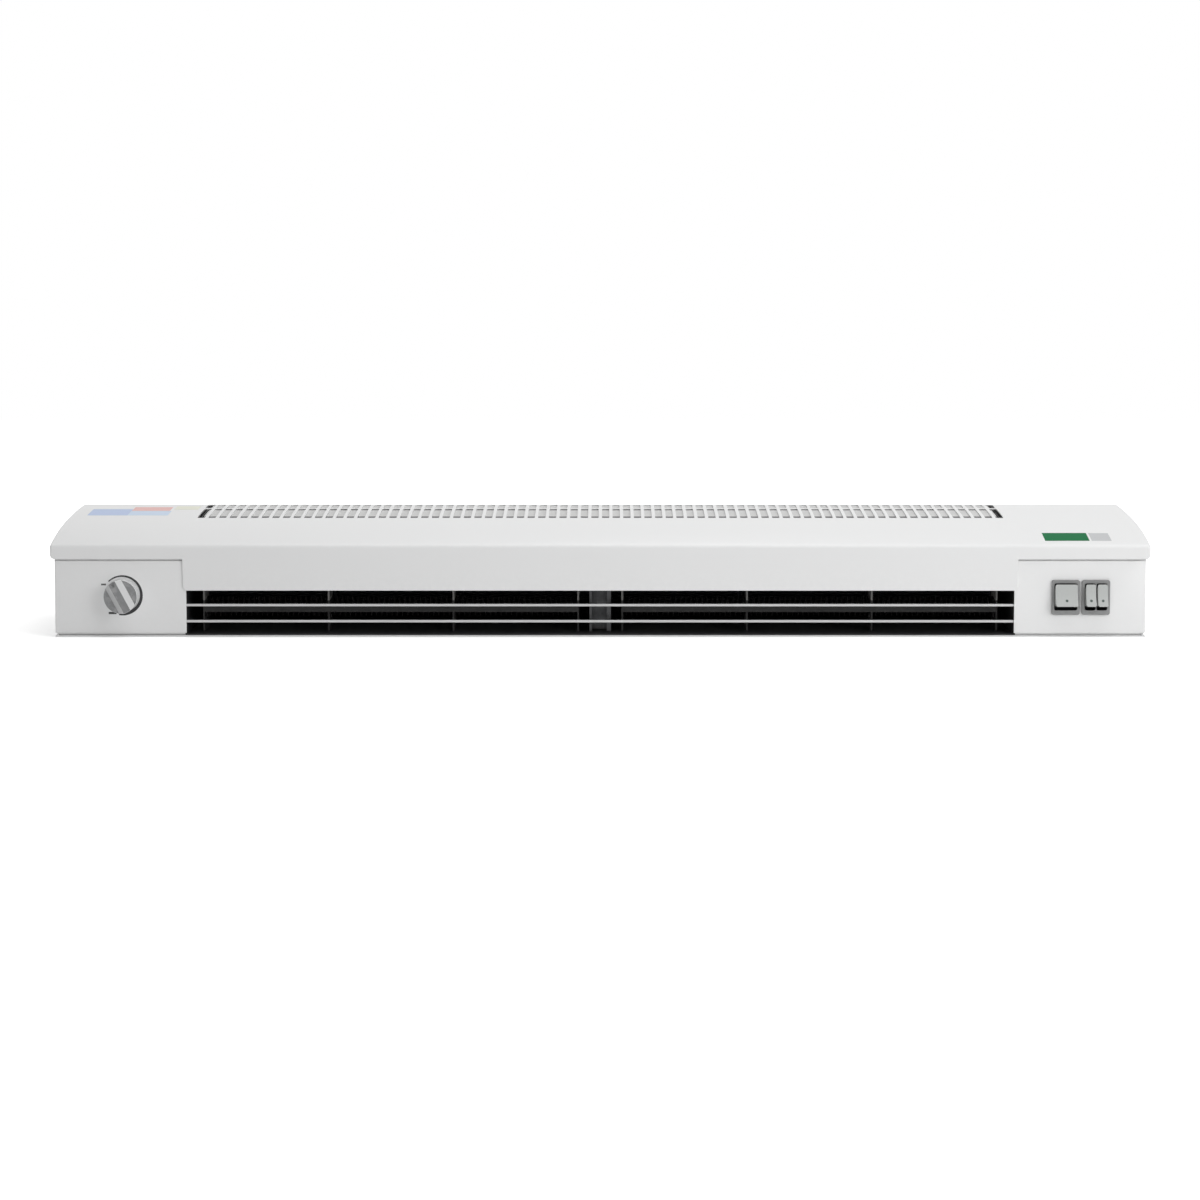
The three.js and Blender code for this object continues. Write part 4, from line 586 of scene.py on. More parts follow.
def slot_half_width(y):
    """Half the slots' width at a given Y, or nothing between them."""
    for start, end in SLOT_ROWS:
        if start - MERGE <= y <= end + MERGE:
            depth = min(y - start, end - y)
            short = SLOT_CORNER - min(max(depth, 0), SLOT_CORNER)
            return SLOT_WIDTH / 2 - SLOT_CORNER + math.sqrt(max(SLOT_CORNER ** 2 - short ** 2, 0))
    return None


def roof_stations():
    """Every Y at which the roof has a row of points."""
    start, end = ROOF_START[-1][0], SLOT_ROWS[0][0]
    fore = [start + (end - start) * i / FORE_STEPS for i in range(1, FORE_STEPS)]
    rows = []
    for start, end in SLOT_ROWS:
        easing = [SLOT_CORNER * (1 - math.cos(math.radians(a))) for a in SLOT_CORNER_ANGLES]
        between = max(1, round((end - start) / ROW_STEP))
        rows += [start + e for e in easing]
        rows += [start + SLOT_CORNER + (end - start - 2 * SLOT_CORNER) * i / between for i in range(1, between)]
        rows += [end - e for e in reversed(easing)]
    return fore + rows


def cover_section():
    """The cover's outer face in section, from the lip's lower edge to the rear flange's, as (Y, Z) points."""
    points = [(FRONT, LIP_FOOT), (FRONT, LIP_TOP - LIP_HEIGHT / 2)]
    points += ROOF_START
    points += [(y, roof_height(y)) for y in roof_stations()]
    points += arc((REAR - REAR_BEND, ROOF_TOP - REAR_BEND), REAR_BEND, 90, 0, REAR_BEND_STEPS)
    points += [(REAR, LIP_FOOT)]
    return points


def inset_section(points, distance):
    """The section moved inwards. Its first and last points keep their height."""
    moved = []
    for i, (y, z) in enumerate(points):
        before, after = points[max(i - 1, 0)], points[min(i + 1, len(points) - 1)]
        run = Vector((after[0] - before[0], after[1] - before[1])).normalized()
        keep = i in (0, len(points) - 1)
        moved.append((y + run.y * distance, z - (0 if keep else run.x * distance)))
    return moved


def lip_corner_rise(x):
    """How far the lip's lower edge has risen at a given X, in the rounded corner at the cover's end."""
    past = max(x - (COVER_END - LIP_CORNER), 0)
    return LIP_CORNER - math.sqrt(max(LIP_CORNER ** 2 - past ** 2, 0))


def slot_tile(section):
    """The strip of the cover that holds one slot of each row."""
    tile = bmesh.new()
    before = None
    for y, z in section:
        half = slot_half_width(y) if z > LIP_TOP else None
        inner = half or SLOT_WIDTH / 2 - SLOT_CORNER
        row = [tile.verts.new((x, y, z)) for x in (-SLOT_PITCH / 2, -inner, inner, SLOT_PITCH / 2)]
        if before:
            row_before, y_before, slotted = before
            open_between = slotted and half and slot_half_width((y + y_before) / 2)
            for i in (0, 2) if open_between else (0, 1, 2):
                tile.faces.new((row_before[i], row_before[i + 1], row[i + 1], row[i]))
        before = (row, y, half)
    return tile


def cover_skin():
    """The cover's outer face as a bmesh: slotted field, plain ends, corner bends and cheeks."""
    section = cover_section()
    skin = run_tree(slot_tile(section), ROW, Count=SLOT_COUNT, Pitch=SLOT_PITCH, Finish=POWDER_COAT)
    field_end = SLOT_COUNT * SLOT_PITCH / 2
    plain_end = COVER_END - LIP_CORNER
    corner = (LIP_CORNER - CORNER_BEND) / CORNER_STEPS
    stations = [(field_end + (plain_end - field_end) * i / PLAIN_STEPS, 0) for i in range(PLAIN_STEPS + 1)]
    stations += [(plain_end + corner * i, 0) for i in range(1, CORNER_STEPS + 1)]
    stations += [
        (COVER_END - CORNER_BEND * (1 - math.sin(math.radians(a))), CORNER_BEND * (1 - math.cos(math.radians(a))))
        for a in CORNER_BEND_ANGLES
    ]
    for side in (-1, 1):
        rows = [[skin.verts.new((side * x, *p)) for p in inset_section(section, inset)] for x, inset in stations]
        for row, (x, _) in zip(rows, stations):
            for vert in (row[0], row[-1]):
                vert.co.z += lip_corner_rise(x)
        for near, far in zip(rows, rows[1:]):
            for i in range(len(section) - 1):
                corners = (near[i], far[i], far[i + 1], near[i + 1])
                skin.faces.new(corners if side > 0 else corners[::-1])
        skin.faces.new(rows[-1] if side > 0 else rows[-1][::-1])
    bmesh.ops.remove_doubles(skin, verts=skin.verts, dist=MERGE)
    return skin


def add_flange(skin):
    """Carries the lip down over the outlet as the cover's middle flange, with chamfered lower corners."""
    for x in (-FLANGE_END, FLANGE_END):
        cut_across(skin, "x", x)
    edges = [
        e for e in skin.edges
        if e.is_boundary and all(abs(v.co.z - LIP_FOOT) < NEAR and abs(v.co.y - FRONT) < NEAR for v in e.verts)
        and all(abs(v.co.x) < FLANGE_END + NEAR for v in e.verts)
    ]
    for height, reach in ((OUTLET_TOP + FLANGE_CHAMFER, FLANGE_END), (OUTLET_TOP, FLANGE_END - FLANGE_CHAMFER)):
        grown = bmesh.ops.extrude_edge_only(skin, edges=edges)["geom"]
        edges = [g for g in grown if isinstance(g, bmesh.types.BMEdge)]
        for vert in (g for g in grown if isinstance(g, bmesh.types.BMVert)):
            vert.co.z = height
            vert.co.x = max(-reach, min(reach, vert.co.x))
    bmesh.ops.remove_doubles(skin, verts=skin.verts, dist=MERGE)
    turn_flange_ends(skin)


def turn_flange_ends(skin):
    """Bends the flange's two upright ends inwards, below the lip."""
    for share in TURN_SHARES:
        for side in (-1, 1):
            cut_across(skin, "x", side * (FLANGE_END - FLANGE_TURN * share))
    for vert in skin.verts:
        past = abs(vert.co.x) - (FLANGE_END - FLANGE_TURN)
        on_flange = vert.co.z < LIP_FOOT - 0.5 and vert.co.y < FRONT + COVER_SHEET
        if 0 < past <= FLANGE_TURN + NEAR and on_flange:
            vert.co.y += FLANGE_TURN - math.sqrt(max(FLANGE_TURN ** 2 - past ** 2, 0))


def make_cover():
    skin = cover_skin()
    add_flange(skin)
    bmesh.ops.recalc_face_normals(skin, faces=skin.faces)
    made = piece("cover_shell", skin, POWDER_COAT, replaces="front_cover", smooth=30)
    wall = made.modifiers.new("Sheet", "SOLIDIFY")
    wall.thickness = COVER_SHEET * MM
    wall.offset = -1
    eased(made, width=0.15, segments=1, angle=60)


# ---------------------------------------------------------------- casing behind the cover

# Under the slots: pale mats that stand in for the lit inside (painted light) and dark strips that stand in for
# shade (painted shade).
BACKING_END = 374.0
BACKING_GAP = 0.15
BACKING_SHEET = 1.2
BACKING_STEP = 6.0  # usual distance between rows of points
FRONT_SHADE_STRIP = (SLOT_ROWS[0][0] - 8, SLOT_ROWS[0][0] + 12.5)
MIDDLE_SHADE_STRIP = (SLOT_ROWS[0][1] - 2.5, SLOT_ROWS[1][0] - 1.5)
BACKING_REAR = REAR - 4.5


def under_roof_slab(name, finish, slot, near, far):
    """A thin slab that follows the underside of the roof, over the slotted field."""
    steps = max(2, round((far - near) / BACKING_STEP))
    ys = [near + (far - near) * i / steps for i in range(steps + 1)]
    top = [(y, roof_height(y) - COVER_SHEET - BACKING_GAP) for y in ys]
    shape = bmesh.new()
    prism(shape, top + [(y, z - BACKING_SHEET) for y, z in reversed(top)], "x", -BACKING_END, BACKING_END)
    eased(piece(name, shape, finish), width=0.1)


def make_slot_backing():
    """Pale mats under the slots as painted light for the lit inside, between dark strips of painted shade."""
    under_roof_slab("pale_backing_front", PALE_SLOT_BACKING, None, FRONT_SHADE_STRIP[1], MIDDLE_SHADE_STRIP[0])
    under_roof_slab("pale_backing_rear", PALE_SLOT_BACKING, None, MIDDLE_SHADE_STRIP[1], BACKING_REAR)
    under_roof_slab("shade_strip_front", BLACK_PLASTIC, "black_plastic", *FRONT_SHADE_STRIP)
    under_roof_slab("shade_strip_middle", BLACK_PLASTIC, "black_plastic", *MIDDLE_SHADE_STRIP)


STEP_UNDER_LIP = 2.2  # height of the shadow joint under the lip
STEP_DEPTH = 1.6
STEP_RISE = 1.0  # height over which the step bends back
BOX_SHEET = 1.0
BOX_CORNER = 1.2  # radius of the upright corners at the unit's ends
RETURN_BEHIND = 2.2  # from the panel's face to the return behind the lower joint
RETURN_LOW, RETURN_HIGH = 2.02, 8.0
RETURN_ENDS = (0.5, 2.0)  # how far the return stops short of the box, at the outlet and at the unit's end


def at_outer_corner(edge):
    """Whether an edge is the upright one between a panel and an end of the unit."""
    one, other = (v.co for v in edge.verts)
    upright = abs(one.x - other.x) < NEAR and abs(one.y - other.y) < NEAR
    return upright and abs(abs(one.x) - BOX_HIGH.x) < NEAR and abs(one.y - PANEL) < NEAR


def make_end_box(side):
    """The end box, its front stepped back just under the lip, and the return that closes its lower joint."""
    name = side + "_end_box"
    shape = node_shape(name)
    corners = [e for e in shape.edges if at_outer_corner(e)]
    bmesh.ops.bevel(shape, geom=corners, offset=BOX_CORNER, segments=4, affect="EDGES", profile=0.5)
    foot = LIP_FOOT - STEP_UNDER_LIP
    for share in (0, 0.5, 1):
        cut_across(shape, "z", foot + STEP_RISE * share)
    for vert in shape.verts:
        if vert.co.y < PANEL + BOX_SHEET + 0.1 and vert.co.z > foot + NEAR:
            share = min((vert.co.z - foot) / STEP_RISE, 1)
            vert.co.y += STEP_DEPTH * (1 - math.sqrt(max(1 - share ** 2, 0)))
    eased(piece(name + "_finished", shape, POWDER_COAT, replaces=name), width=0.2)
    near, far = PANEL + RETURN_BEHIND, PANEL + RETURN_BEHIND + BOX_SHEET
    ends = (BOX_LOW.x + RETURN_ENDS[0], BOX_HIGH.x - RETURN_ENDS[1])
    start, end = ends if side == "right" else (-ends[1], -ends[0])
    strip = bmesh.new()
    prism(strip, [(near, RETURN_LOW), (near, RETURN_HIGH), (far, RETURN_HIGH), (far, RETURN_LOW)], "x", start, end)
    piece(side + "_lower_return", strip, POWDER_COAT)


def make_casing():
    dressed("back_plate", POWDER_COAT, width=0.25)
    for side in ("left", "right"):
        make_end_box(side)
        dressed(side + "_bulkhead", DARK_SHEET, width=0.15)


# ---------------------------------------------------------------- outlet

BLADE_NOSE = 1.2
BLADE_SHEET = 1.0
BLADE_TILT = 6.0
NOSE_OPENING = 30  # degrees either side of the sheet, where the rolled nose meets it


def make_outlet():
    dressed("scroll", DARK_SHEET, width=0.12)
    dressed("stabiliser", DARK_SHEET, width=0.12)
    dressed("centre_bracket", DARKENED_ZINC, width=0.2)
    for name in ("upper_blade", "lower_blade"):
        low, high = node_box(name)
        nose = Vector((low.y + BLADE_NOSE, high.z - BLADE_NOSE))
        reach = high.y - nose.x
        outline = arc((0, 0), BLADE_NOSE, NOSE_OPENING, 360 - NOSE_OPENING, 16)
        outline += [(reach, -BLADE_SHEET / 2), (reach, BLADE_SHEET / 2)]
        tilt = Matrix.Rotation(-math.radians(BLADE_TILT), 2)
        shape = bmesh.new()
        prism(shape, [tuple(tilt @ Vector(p) + nose) for p in outline], "x", low.x, high.x)
        eased(piece(name + "_rolled", shape, GREYED_BLADE_PAINT, replaces=name), width=0.12)


# ---------------------------------------------------------------- heater

PALE_BOARD_FROM = 31.0  # the supports are pale above this height and dark below it
RIBBON_PITCH = 4.8  # wanted distance from fold to fold
RIBBON_MARGIN = 0.9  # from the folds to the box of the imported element
RIBBON_HALF = 0.45  # half the ribbon's thickness


def make_heater_frame(name):
    shape = node_shape(name)
    cut_across(shape, "z", PALE_BOARD_FROM)
    for face in shape.faces:
        face.material_index = 1 if face.calc_center_median().z > PALE_BOARD_FROM else 0
    eased(piece(name + "_boards", shape, (DARK_MICA, MICA), replaces=name), width=0.12)


def make_heating_ribbon(side):
    name = "heater_element_" + side
    low, high = node_box(name)
    count = round((high.x - low.x) / RIBBON_PITCH)
    pitch = (high.x - low.x) / count
    top, bottom = high.z - RIBBON_MARGIN, low.z + RIBBON_MARGIN
    middle = (top + bottom) / 2
    fold = [(-pitch / 2, bottom), (-pitch / 4, middle), (0, top), (pitch / 4, middle), (pitch / 2, bottom)]
    ribbon = bmesh.new()
    corners = ((low.y, -RIBBON_HALF), (low.y, RIBBON_HALF), (high.y, RIBBON_HALF), (high.y, -RIBBON_HALF))
    rows = [[ribbon.verts.new((x, y, z + lift)) for x, z in fold] for y, lift in corners]
    for a, b in zip(rows, rows[1:] + rows[:1]):
        for i in range(len(fold) - 1):
            ribbon.faces.new((a[i], a[i + 1], b[i + 1], b[i]))
    whole = run_tree(ribbon, ROW, Count=count, Pitch=pitch, Finish=DARKENED_RIBBON_ALLOY)
    bmesh.ops.translate(whole, vec=((low.x + high.x) / 2, 0, 0), verts=whole.verts)
    bmesh.ops.holes_fill(whole, edges=whole.edges)
    bmesh.ops.recalc_face_normals(whole, faces=whole.faces)
    piece("heating_ribbon_" + side, whole, DARKENED_RIBBON_ALLOY, replaces=name)


def make_heater():
    for side in ("left", "right"):
        make_heater_frame("heater_frame_" + side)
        dressed("thermal_cutout_" + side, BLACK_PLASTIC, width=0.3)
        make_heating_ribbon(side)


# ---------------------------------------------------------------- fan

ROTOR_BLADES = 32
ROTOR_DISC = 1.2
BLADE_DEPTH = 9.0  # from the rotor's rim to the blades' inner edges
RIM_PLAY = 0.4  # from the discs' rim to the blades' outer edges
BLADE_CAMBER, BLADE_FLATTENING = 3.2, 0.35  # depth of a blade's curve, and its share lost towards the rim
VANE_SHEET = 0.6
HUB_RADIUS, HUB_LENGTH = 8.0, 12.0
ROTOR_STEPS = 64


def ring(shape, rim, hole, start, end):
    """Adds a flat ring across X between two outlines of (Y, Z) points."""
    loops = [[shape.verts.new((x, *p)) for p in points] for x, points in
             ((start, rim), (end, rim), (end, hole), (start, hole))]
    count = len(rim)
    faces = []
    for a, b in zip(loops, loops[1:] + loops[:1]):
        faces += [shape.faces.new((a[i], a[(i + 1) % count], b[(i + 1) % count], b[i])) for i in range(count)]
    bmesh.ops.recalc_face_normals(shape, faces=faces)


def make_rotor(side):
    """A cross-flow rotor: curved blades through two end discs and two rings, and a hub at each end."""
    name = "rotor_" + side
    low, high = node_box(name)
    axis = Vector((0, (low.y + high.y) / 2, (low.z + high.z) / 2))
    radius = (high.z - low.z) / 2
    root, tip = radius - BLADE_DEPTH, radius - RIM_PLAY
    outer = [(root + (tip - root) * s, BLADE_CAMBER * math.sin(math.pi * s) * (1 - BLADE_FLATTENING * s))
             for s in (0, 0.25, 0.5, 0.75, 1)]
    inner = [(a, b - VANE_SHEET) for a, b in reversed(outer)]
    blade = bmesh.new()
    prism(blade, outer + inner, "x", low.x + ROTOR_DISC / 2, high.x - ROTOR_DISC / 2)
    wheel = run_tree(blade, WHEEL, Count=ROTOR_BLADES, Finish=ROTOR_METAL)
    rim = circle(radius, ROTOR_STEPS)
    span = high.x - low.x
    prism(wheel, rim, "x", low.x, low.x + ROTOR_DISC)
    for x in (low.x + span / 3, low.x + span * 2 / 3):
        ring(wheel, rim, circle(root - 1, ROTOR_STEPS), x, x + ROTOR_DISC)
    prism(wheel, rim, "x", high.x - ROTOR_DISC, high.x)
    for x in (low.x, high.x - HUB_LENGTH):
        prism(wheel, circle(HUB_RADIUS, ROTOR_STEPS // 2), "x", x, x + HUB_LENGTH)
    bmesh.ops.translate(wheel, vec=axis, verts=wheel.verts)
    piece(name + "_bladed", wheel, ROTOR_METAL, "fan", name)


def make_fan():
    for side in ("left", "right"):
        make_rotor(side)
    for name in ("drive_shaft", "middle_shaft", "end_shaft"):
        dressed(name, ZINC_PLATE, width=0.3, body="fan")
    dressed("motor_coupling", RUBBER, width=0.4, body="fan")
    dressed("middle_bearing", BRASS, width=0.3)
    dressed("end_bearing", BRASS, width=0.3)
    dressed("end_bearing_ring", RUBBER, width=0.4)
    dressed("motor_can", LACQUERED_STEEL, width=0.6)
    dressed("motor_end_cap", ALUMINIUM, width=0.6)
    dressed("motor_ring", RUBBER, width=0.4)
    dressed("motor_bracket", DARKENED_ZINC, width=0.2)


# ---------------------------------------------------------------- knob, thermostat and printed scale

def facing_outlet(shape, centre, turn):
    """Turns a shape drawn facing +Z to face the outlet side, at a centre on the panel."""
    matrix = Matrix.Translation(centre) @ Matrix.Rotation(math.radians(90), 4, "X")
    matrix = matrix @ Matrix.Rotation(math.radians(turn), 4, "Z")
    bmesh.ops.transform(shape, matrix=matrix, verts=shape.verts)


def make_knob():
    """The knob: a drum, a tapered grip across it and a notch at the grip's pointing end."""
    top = PANEL - KNOB_FACE
    reach = KNOB_RADIUS + 1
    foot = KNOB_SHOULDER - 2
    rim = circle(KNOB_RADIUS, KNOB_STEPS)
    half_section = [(GRIP_ROOT_HALF, foot), (GRIP_ROOT_HALF, KNOB_SHOULDER), (GRIP_TOP_HALF, top + NEAR)]
    drum, tall, ridge, notch = (bmesh.new() for _ in range(4))
    prism(drum, rim, "z", KNOB_LIFT, KNOB_SHOULDER)
    prism(tall, rim, "z", KNOB_LIFT + 1, top)
    prism(ridge, [(-a, b) for a, b in half_section] + half_section[::-1], "x", -reach, reach)
    whole = boolean(drum, boolean(tall, ridge, "INTERSECT"), "UNION")
    prism(notch, [(KNOB_RADIUS - NOTCH_LENGTH, 0), (reach, -NOTCH_HALF), (reach, NOTCH_HALF)], "z",
          top - NOTCH_DEPTH, top + 1)
    whole = boolean(whole, notch, "DIFFERENCE")
    facing_outlet(whole, (KNOB_CENTRE.x, PANEL, KNOB_CENTRE.z), 90 + POINTER_TILT)
    whole.normal_update()
    # The drum's side and the grip's slopes (satin) take the paler finishes: painted highlight.
    plain, highlighted_rim, satin = range(3)
    for face in whole.faces:
        offset = face.calc_center_median() - KNOB_CENTRE
        facing = abs(face.normal.y)
        on_rim = math.hypot(offset.x, offset.z) > KNOB_RADIUS - RIM_MARGIN and facing < RIM_FACING
        on_slope = GRIP_FACING[0] < facing < GRIP_FACING[1]
        face.material_index = highlighted_rim if on_rim else satin if on_slope else plain
    finishes = (SILVER_PLASTIC, RIM_HIGHLIGHT, GRIP_SLOPE_HIGHLIGHT)
    made = piece("knob_grip", whole, finishes, "knob", "knob", smooth=30)
    eased(made, width=0.4, segments=3, angle=25)
    dressed("thermostat_spindle", ZINC_PLATE, width=0.3, body="knob")
    dressed("thermostat", BLACK_PLASTIC, width=0.4)
    dressed("thermostat_nut", BRASS, width=0.25)
    dressed("sensing_bulb", COPPER, width=0.6)


PRINT = 0.06  # thickness of a print's ink
SCALE_RADIUS = 18.4
SCALE_START, SCALE_END = 135, -101  # degrees, clockwise from the thin end
SCALE_THIN, SCALE_THICK = 1.1, 3.6
SCALE_STEPS = 60
DASHES = {  # left, right, lower and upper edges, from the knob's axis
    "printed_dash_low": (-19.4, -14.9, 9.2, 10.7, GREY_INK),
    "printed_dash_high": (-12.8, -5.7, -17.2, -15.2, INK),
}


def make_scale():
    """The print round the knob: a ring that grows thicker, and a dash by each of its ends."""
    outer, inner = [], []
    for i in range(SCALE_STEPS + 1):
        share = i / SCALE_STEPS
        angle = math.radians(SCALE_START + (SCALE_END - SCALE_START) * share)
        inside = SCALE_RADIUS - SCALE_THIN - (SCALE_THICK - SCALE_THIN) * share
        outer.append((SCALE_RADIUS * math.cos(angle), SCALE_RADIUS * math.sin(angle)))
        inner.append((inside * math.cos(angle), inside * math.sin(angle)))
    shape = bmesh.new()
    front, back = PANEL - PRINT, PANEL + PRINT / 2
    sides = ((front, outer), (front, inner), (back, inner), (back, outer))
    rows = [[shape.verts.new((KNOB_CENTRE.x + x, y, KNOB_CENTRE.z + z)) for x, z in line] for y, line in sides]
    for a, b in zip(rows, rows[1:] + rows[:1]):
        for i in range(SCALE_STEPS):
            shape.faces.new((a[i], a[i + 1], b[i + 1], b[i]))
    for i in (0, SCALE_STEPS):
        shape.faces.new([line[i] for line in rows])
    bmesh.ops.recalc_face_normals(shape, faces=shape.faces)
    piece("printed_scale", shape, INK)
    for name, (left, right, lower, upper, finish) in DASHES.items():
        shape = bmesh.new()
        corners = ((left, lower), (right, lower), (right, upper), (left, upper))
        prism(shape, [(KNOB_CENTRE.x + x, KNOB_CENTRE.z + z) for x, z in corners], "y", front, back)
        piece(name, shape, finish)


# ---------------------------------------------------------------- switches

SWITCHES = {"single_switch": ("single_rocker",), "double_switch": ("double_rocker_left", "double_rocker_right")}
PIVOT_Y, PIVOT_Z = -80.7, 36.6
ROCKER_FACE = 10.1  # from the pivot to the ends of the hollow face
ROCKER_HALF_HEIGHT = 10.4
ROCKER_WAIST = 6.0  # from the pivot to where the ends have drawn in
ROCKER_UNDERCUT = 2.4
ROCKER_VALLEY = 1.8  # depth of the face's hollow
ROCKER_THROW = 15.0  # degrees from level, as the rockers rest
ROCKER_BACK = 3.5
CAP_ROUNDING = 1.7  # at the sides of the rocker's two ends
PIN_LENGTH = 0.55  # of each pivot pin beside the rocker
PIN_RADIUS = 1.1
PIN_ROOT = 0.5  # of each pin inside the rocker
PIN_STEPS, MARK_STEPS = 16, 24
SIDE_FACING, END_FACING = 0.9, 0.75  # least share of a normal for a rocker's side or end
MARK_RADIUS = 1.35
MARK_Z = -4.6
MARK_FACE = 8.64  # from the pivot to the rocker's face at the mark's middle
MARK_SLOPE = 0.149  # of the face there
MARK_PROUD = 0.08
POCKET_LOW, POCKET_HIGH = 24.9, 49.4
POCKET_FLOOR = -69.0
POCKET_PLAY = 0.25  # beside each rocker
POCKET_CORNER = 1.6
BEZEL_CORNER = 2.0
BEZEL_GAP = 0.02  # between the bezel and the panel
BODY_CORNER = 0.8
BODY_ROOT = 1.0  # of the body inside the bezel
BODY_INSET = 1.8  # of the body behind the panel, from the bezel's edge
SHADE_INSET = (2.0, 2.3)  # from the bezel's edges to where the pockets' walls are painted black as shade
SHADE_FROM, SHADE_TO = 0.2, 1.0  # and from the bezel's face and the body's rear


def make_housing(name, rockers):
    """A switch's bezel and body, with a pocket for each rocker whose walls are painted black as shade."""
    low, high = node_box(name)
    centre = ((low.x + high.x) / 2, (low.z + high.z) / 2)
    width, height = high.x - low.x, high.z - low.z
    bezel = bmesh.new()
    prism(bezel, rounded_rectangle(width, height, BEZEL_CORNER, centre), "y", low.y, PANEL - BEZEL_GAP)
    body = bmesh.new()
    inset = (width - 2 * BODY_INSET, height - 2 * BODY_INSET)
    prism(body, rounded_rectangle(*inset, BODY_CORNER, centre), "y", PANEL - BODY_ROOT, high.y)
    whole = boolean(bezel, body, "UNION")
    for rocker in rockers:
        left, right = (box.x for box in node_box(rocker))
        pocket_width = right - left - 2 * (PIN_LENGTH - POCKET_PLAY)
        pocket_centre = ((left + right) / 2, (POCKET_LOW + POCKET_HIGH) / 2)
        pocket = bmesh.new()
        outline = rounded_rectangle(pocket_width, POCKET_HIGH - POCKET_LOW, POCKET_CORNER, pocket_centre)
        prism(pocket, outline, "y", low.y - 1, POCKET_FLOOR)
        whole = boolean(whole, pocket, "DIFFERENCE")
    # The pockets' inner walls take black plastic: painted shade of the recess.
    for face in whole.faces:
        place = face.calc_center_median()
        aside, above = abs(place.x - centre[0]), abs(place.z - centre[1])
        inside = aside < width / 2 - SHADE_INSET[0] and above < height / 2 - SHADE_INSET[1]
        face.material_index = 1 if inside and low.y + SHADE_FROM < place.y < high.y - SHADE_TO else 0
    finishes = (BEZEL_GREY, BLACK_PLASTIC)
    eased(piece(name + "_housing", whole, finishes, replaces=name), width=0.35)


def rocker_outline():
    """The rocker in section about its pivot, as (Y, Z) points: hollow face, undercut ends and flat back."""
    radius = (ROCKER_HALF_HEIGHT ** 2 + ROCKER_VALLEY ** 2) / (2 * ROCKER_VALLEY)
    sweep = math.degrees(math.asin(ROCKER_HALF_HEIGHT / radius))
    face = arc((-ROCKER_FACE + ROCKER_VALLEY - radius, 0), radius, -sweep, sweep, 16)
    back = ROCKER_HALF_HEIGHT - ROCKER_UNDERCUT
    return face + [(-ROCKER_WAIST, back), (ROCKER_BACK, back), (ROCKER_BACK, -back), (-ROCKER_WAIST, -back)]


def make_rocker(name):
    """A rocker with its two pivot pins and its mark, drawn level about the pivot and turned as it rests."""
    low, high = node_box(name)
    left, right = low.x + PIN_LENGTH, high.x - PIN_LENGTH
    shape = bmesh.new()
    prism(shape, rocker_outline(), "x", left, right)
    ends = [
        e for e in shape.edges
        if any(abs(f.normal.x) > SIDE_FACING for f in e.link_faces)
        and any(abs(f.normal.z) > END_FACING for f in e.link_faces)
    ]
    bmesh.ops.bevel(shape, geom=ends, offset=CAP_ROUNDING, segments=6, affect="EDGES", profile=0.5)
    for start, end in ((low.x, left + PIN_ROOT), (right - PIN_ROOT, high.x)):
        prism(shape, circle(PIN_RADIUS, PIN_STEPS), "x", start, end)
    turn = Matrix.Translation((0, PIVOT_Y, PIVOT_Z)) @ Matrix.Rotation(-math.radians(ROCKER_THROW), 4, "X")
    bmesh.ops.transform(shape, matrix=turn, verts=shape.verts)
    made = piece(name + "_cap", shape, ROCKER_GREY, name, name, smooth=30)
    eased(made, width=0.6, segments=4, angle=25)
    mark = bmesh.new()
    middle = (low.x + high.x) / 2
    prism(mark, circle(MARK_RADIUS, MARK_STEPS, (middle, MARK_Z)), "y", -MARK_FACE - MARK_PROUD, -MARK_FACE + 1)
    for vert in mark.verts:
        vert.co.y += MARK_SLOPE * (vert.co.z - MARK_Z)
    bmesh.ops.transform(mark, matrix=turn, verts=mark.verts)
    eased(piece(name + "_mark", mark, DOT_GREEN, name), width=0.2)


def make_switches():
    for name, rockers in SWITCHES.items():
        make_housing(name, rockers)
        for rocker in rockers:
            make_rocker(rocker)


# ---------------------------------------------------------------- electrical fittings

def make_fittings():
    dressed("terminal_block", WHITE_PLASTIC, width=0.5)
    dressed("power_relay", BLACK_PLASTIC, width=0.6)
    dressed("motor_capacitor", WHITE_PLASTIC, width=0.5)
    dressed("cable_gland", BLACK_PLASTIC, width=0.6)
    dressed("gland_nut", BLACK_PLASTIC, width=0.5)
    dressed("earth_stud", BRASS, width=0.3)
    dressed("wiring_loom", RUBBER, width=0.4)


# ---------------------------------------------------------------- screws

SCREW_SEAT = 0.3  # from the sheet's face to the underside of a screw's head
SCREW_LENGTH = 7.3  # below the head
SHANK_RADIUS = 2.0
TIP_RADIUS, TIP_LENGTH = 1.4, 0.8
HEAD_RADIUS = 3.8
HEAD_PROFILE = ((1, 0), (1, 0.7), (0.93, 1.35), (0.72, 1.9), (0.4, 2.2), (0, 2.2))  # share of radius, height
RECESS_REACH, RECESS_HALF, RECESS_DEPTH = 2.1, 0.38, 1.3


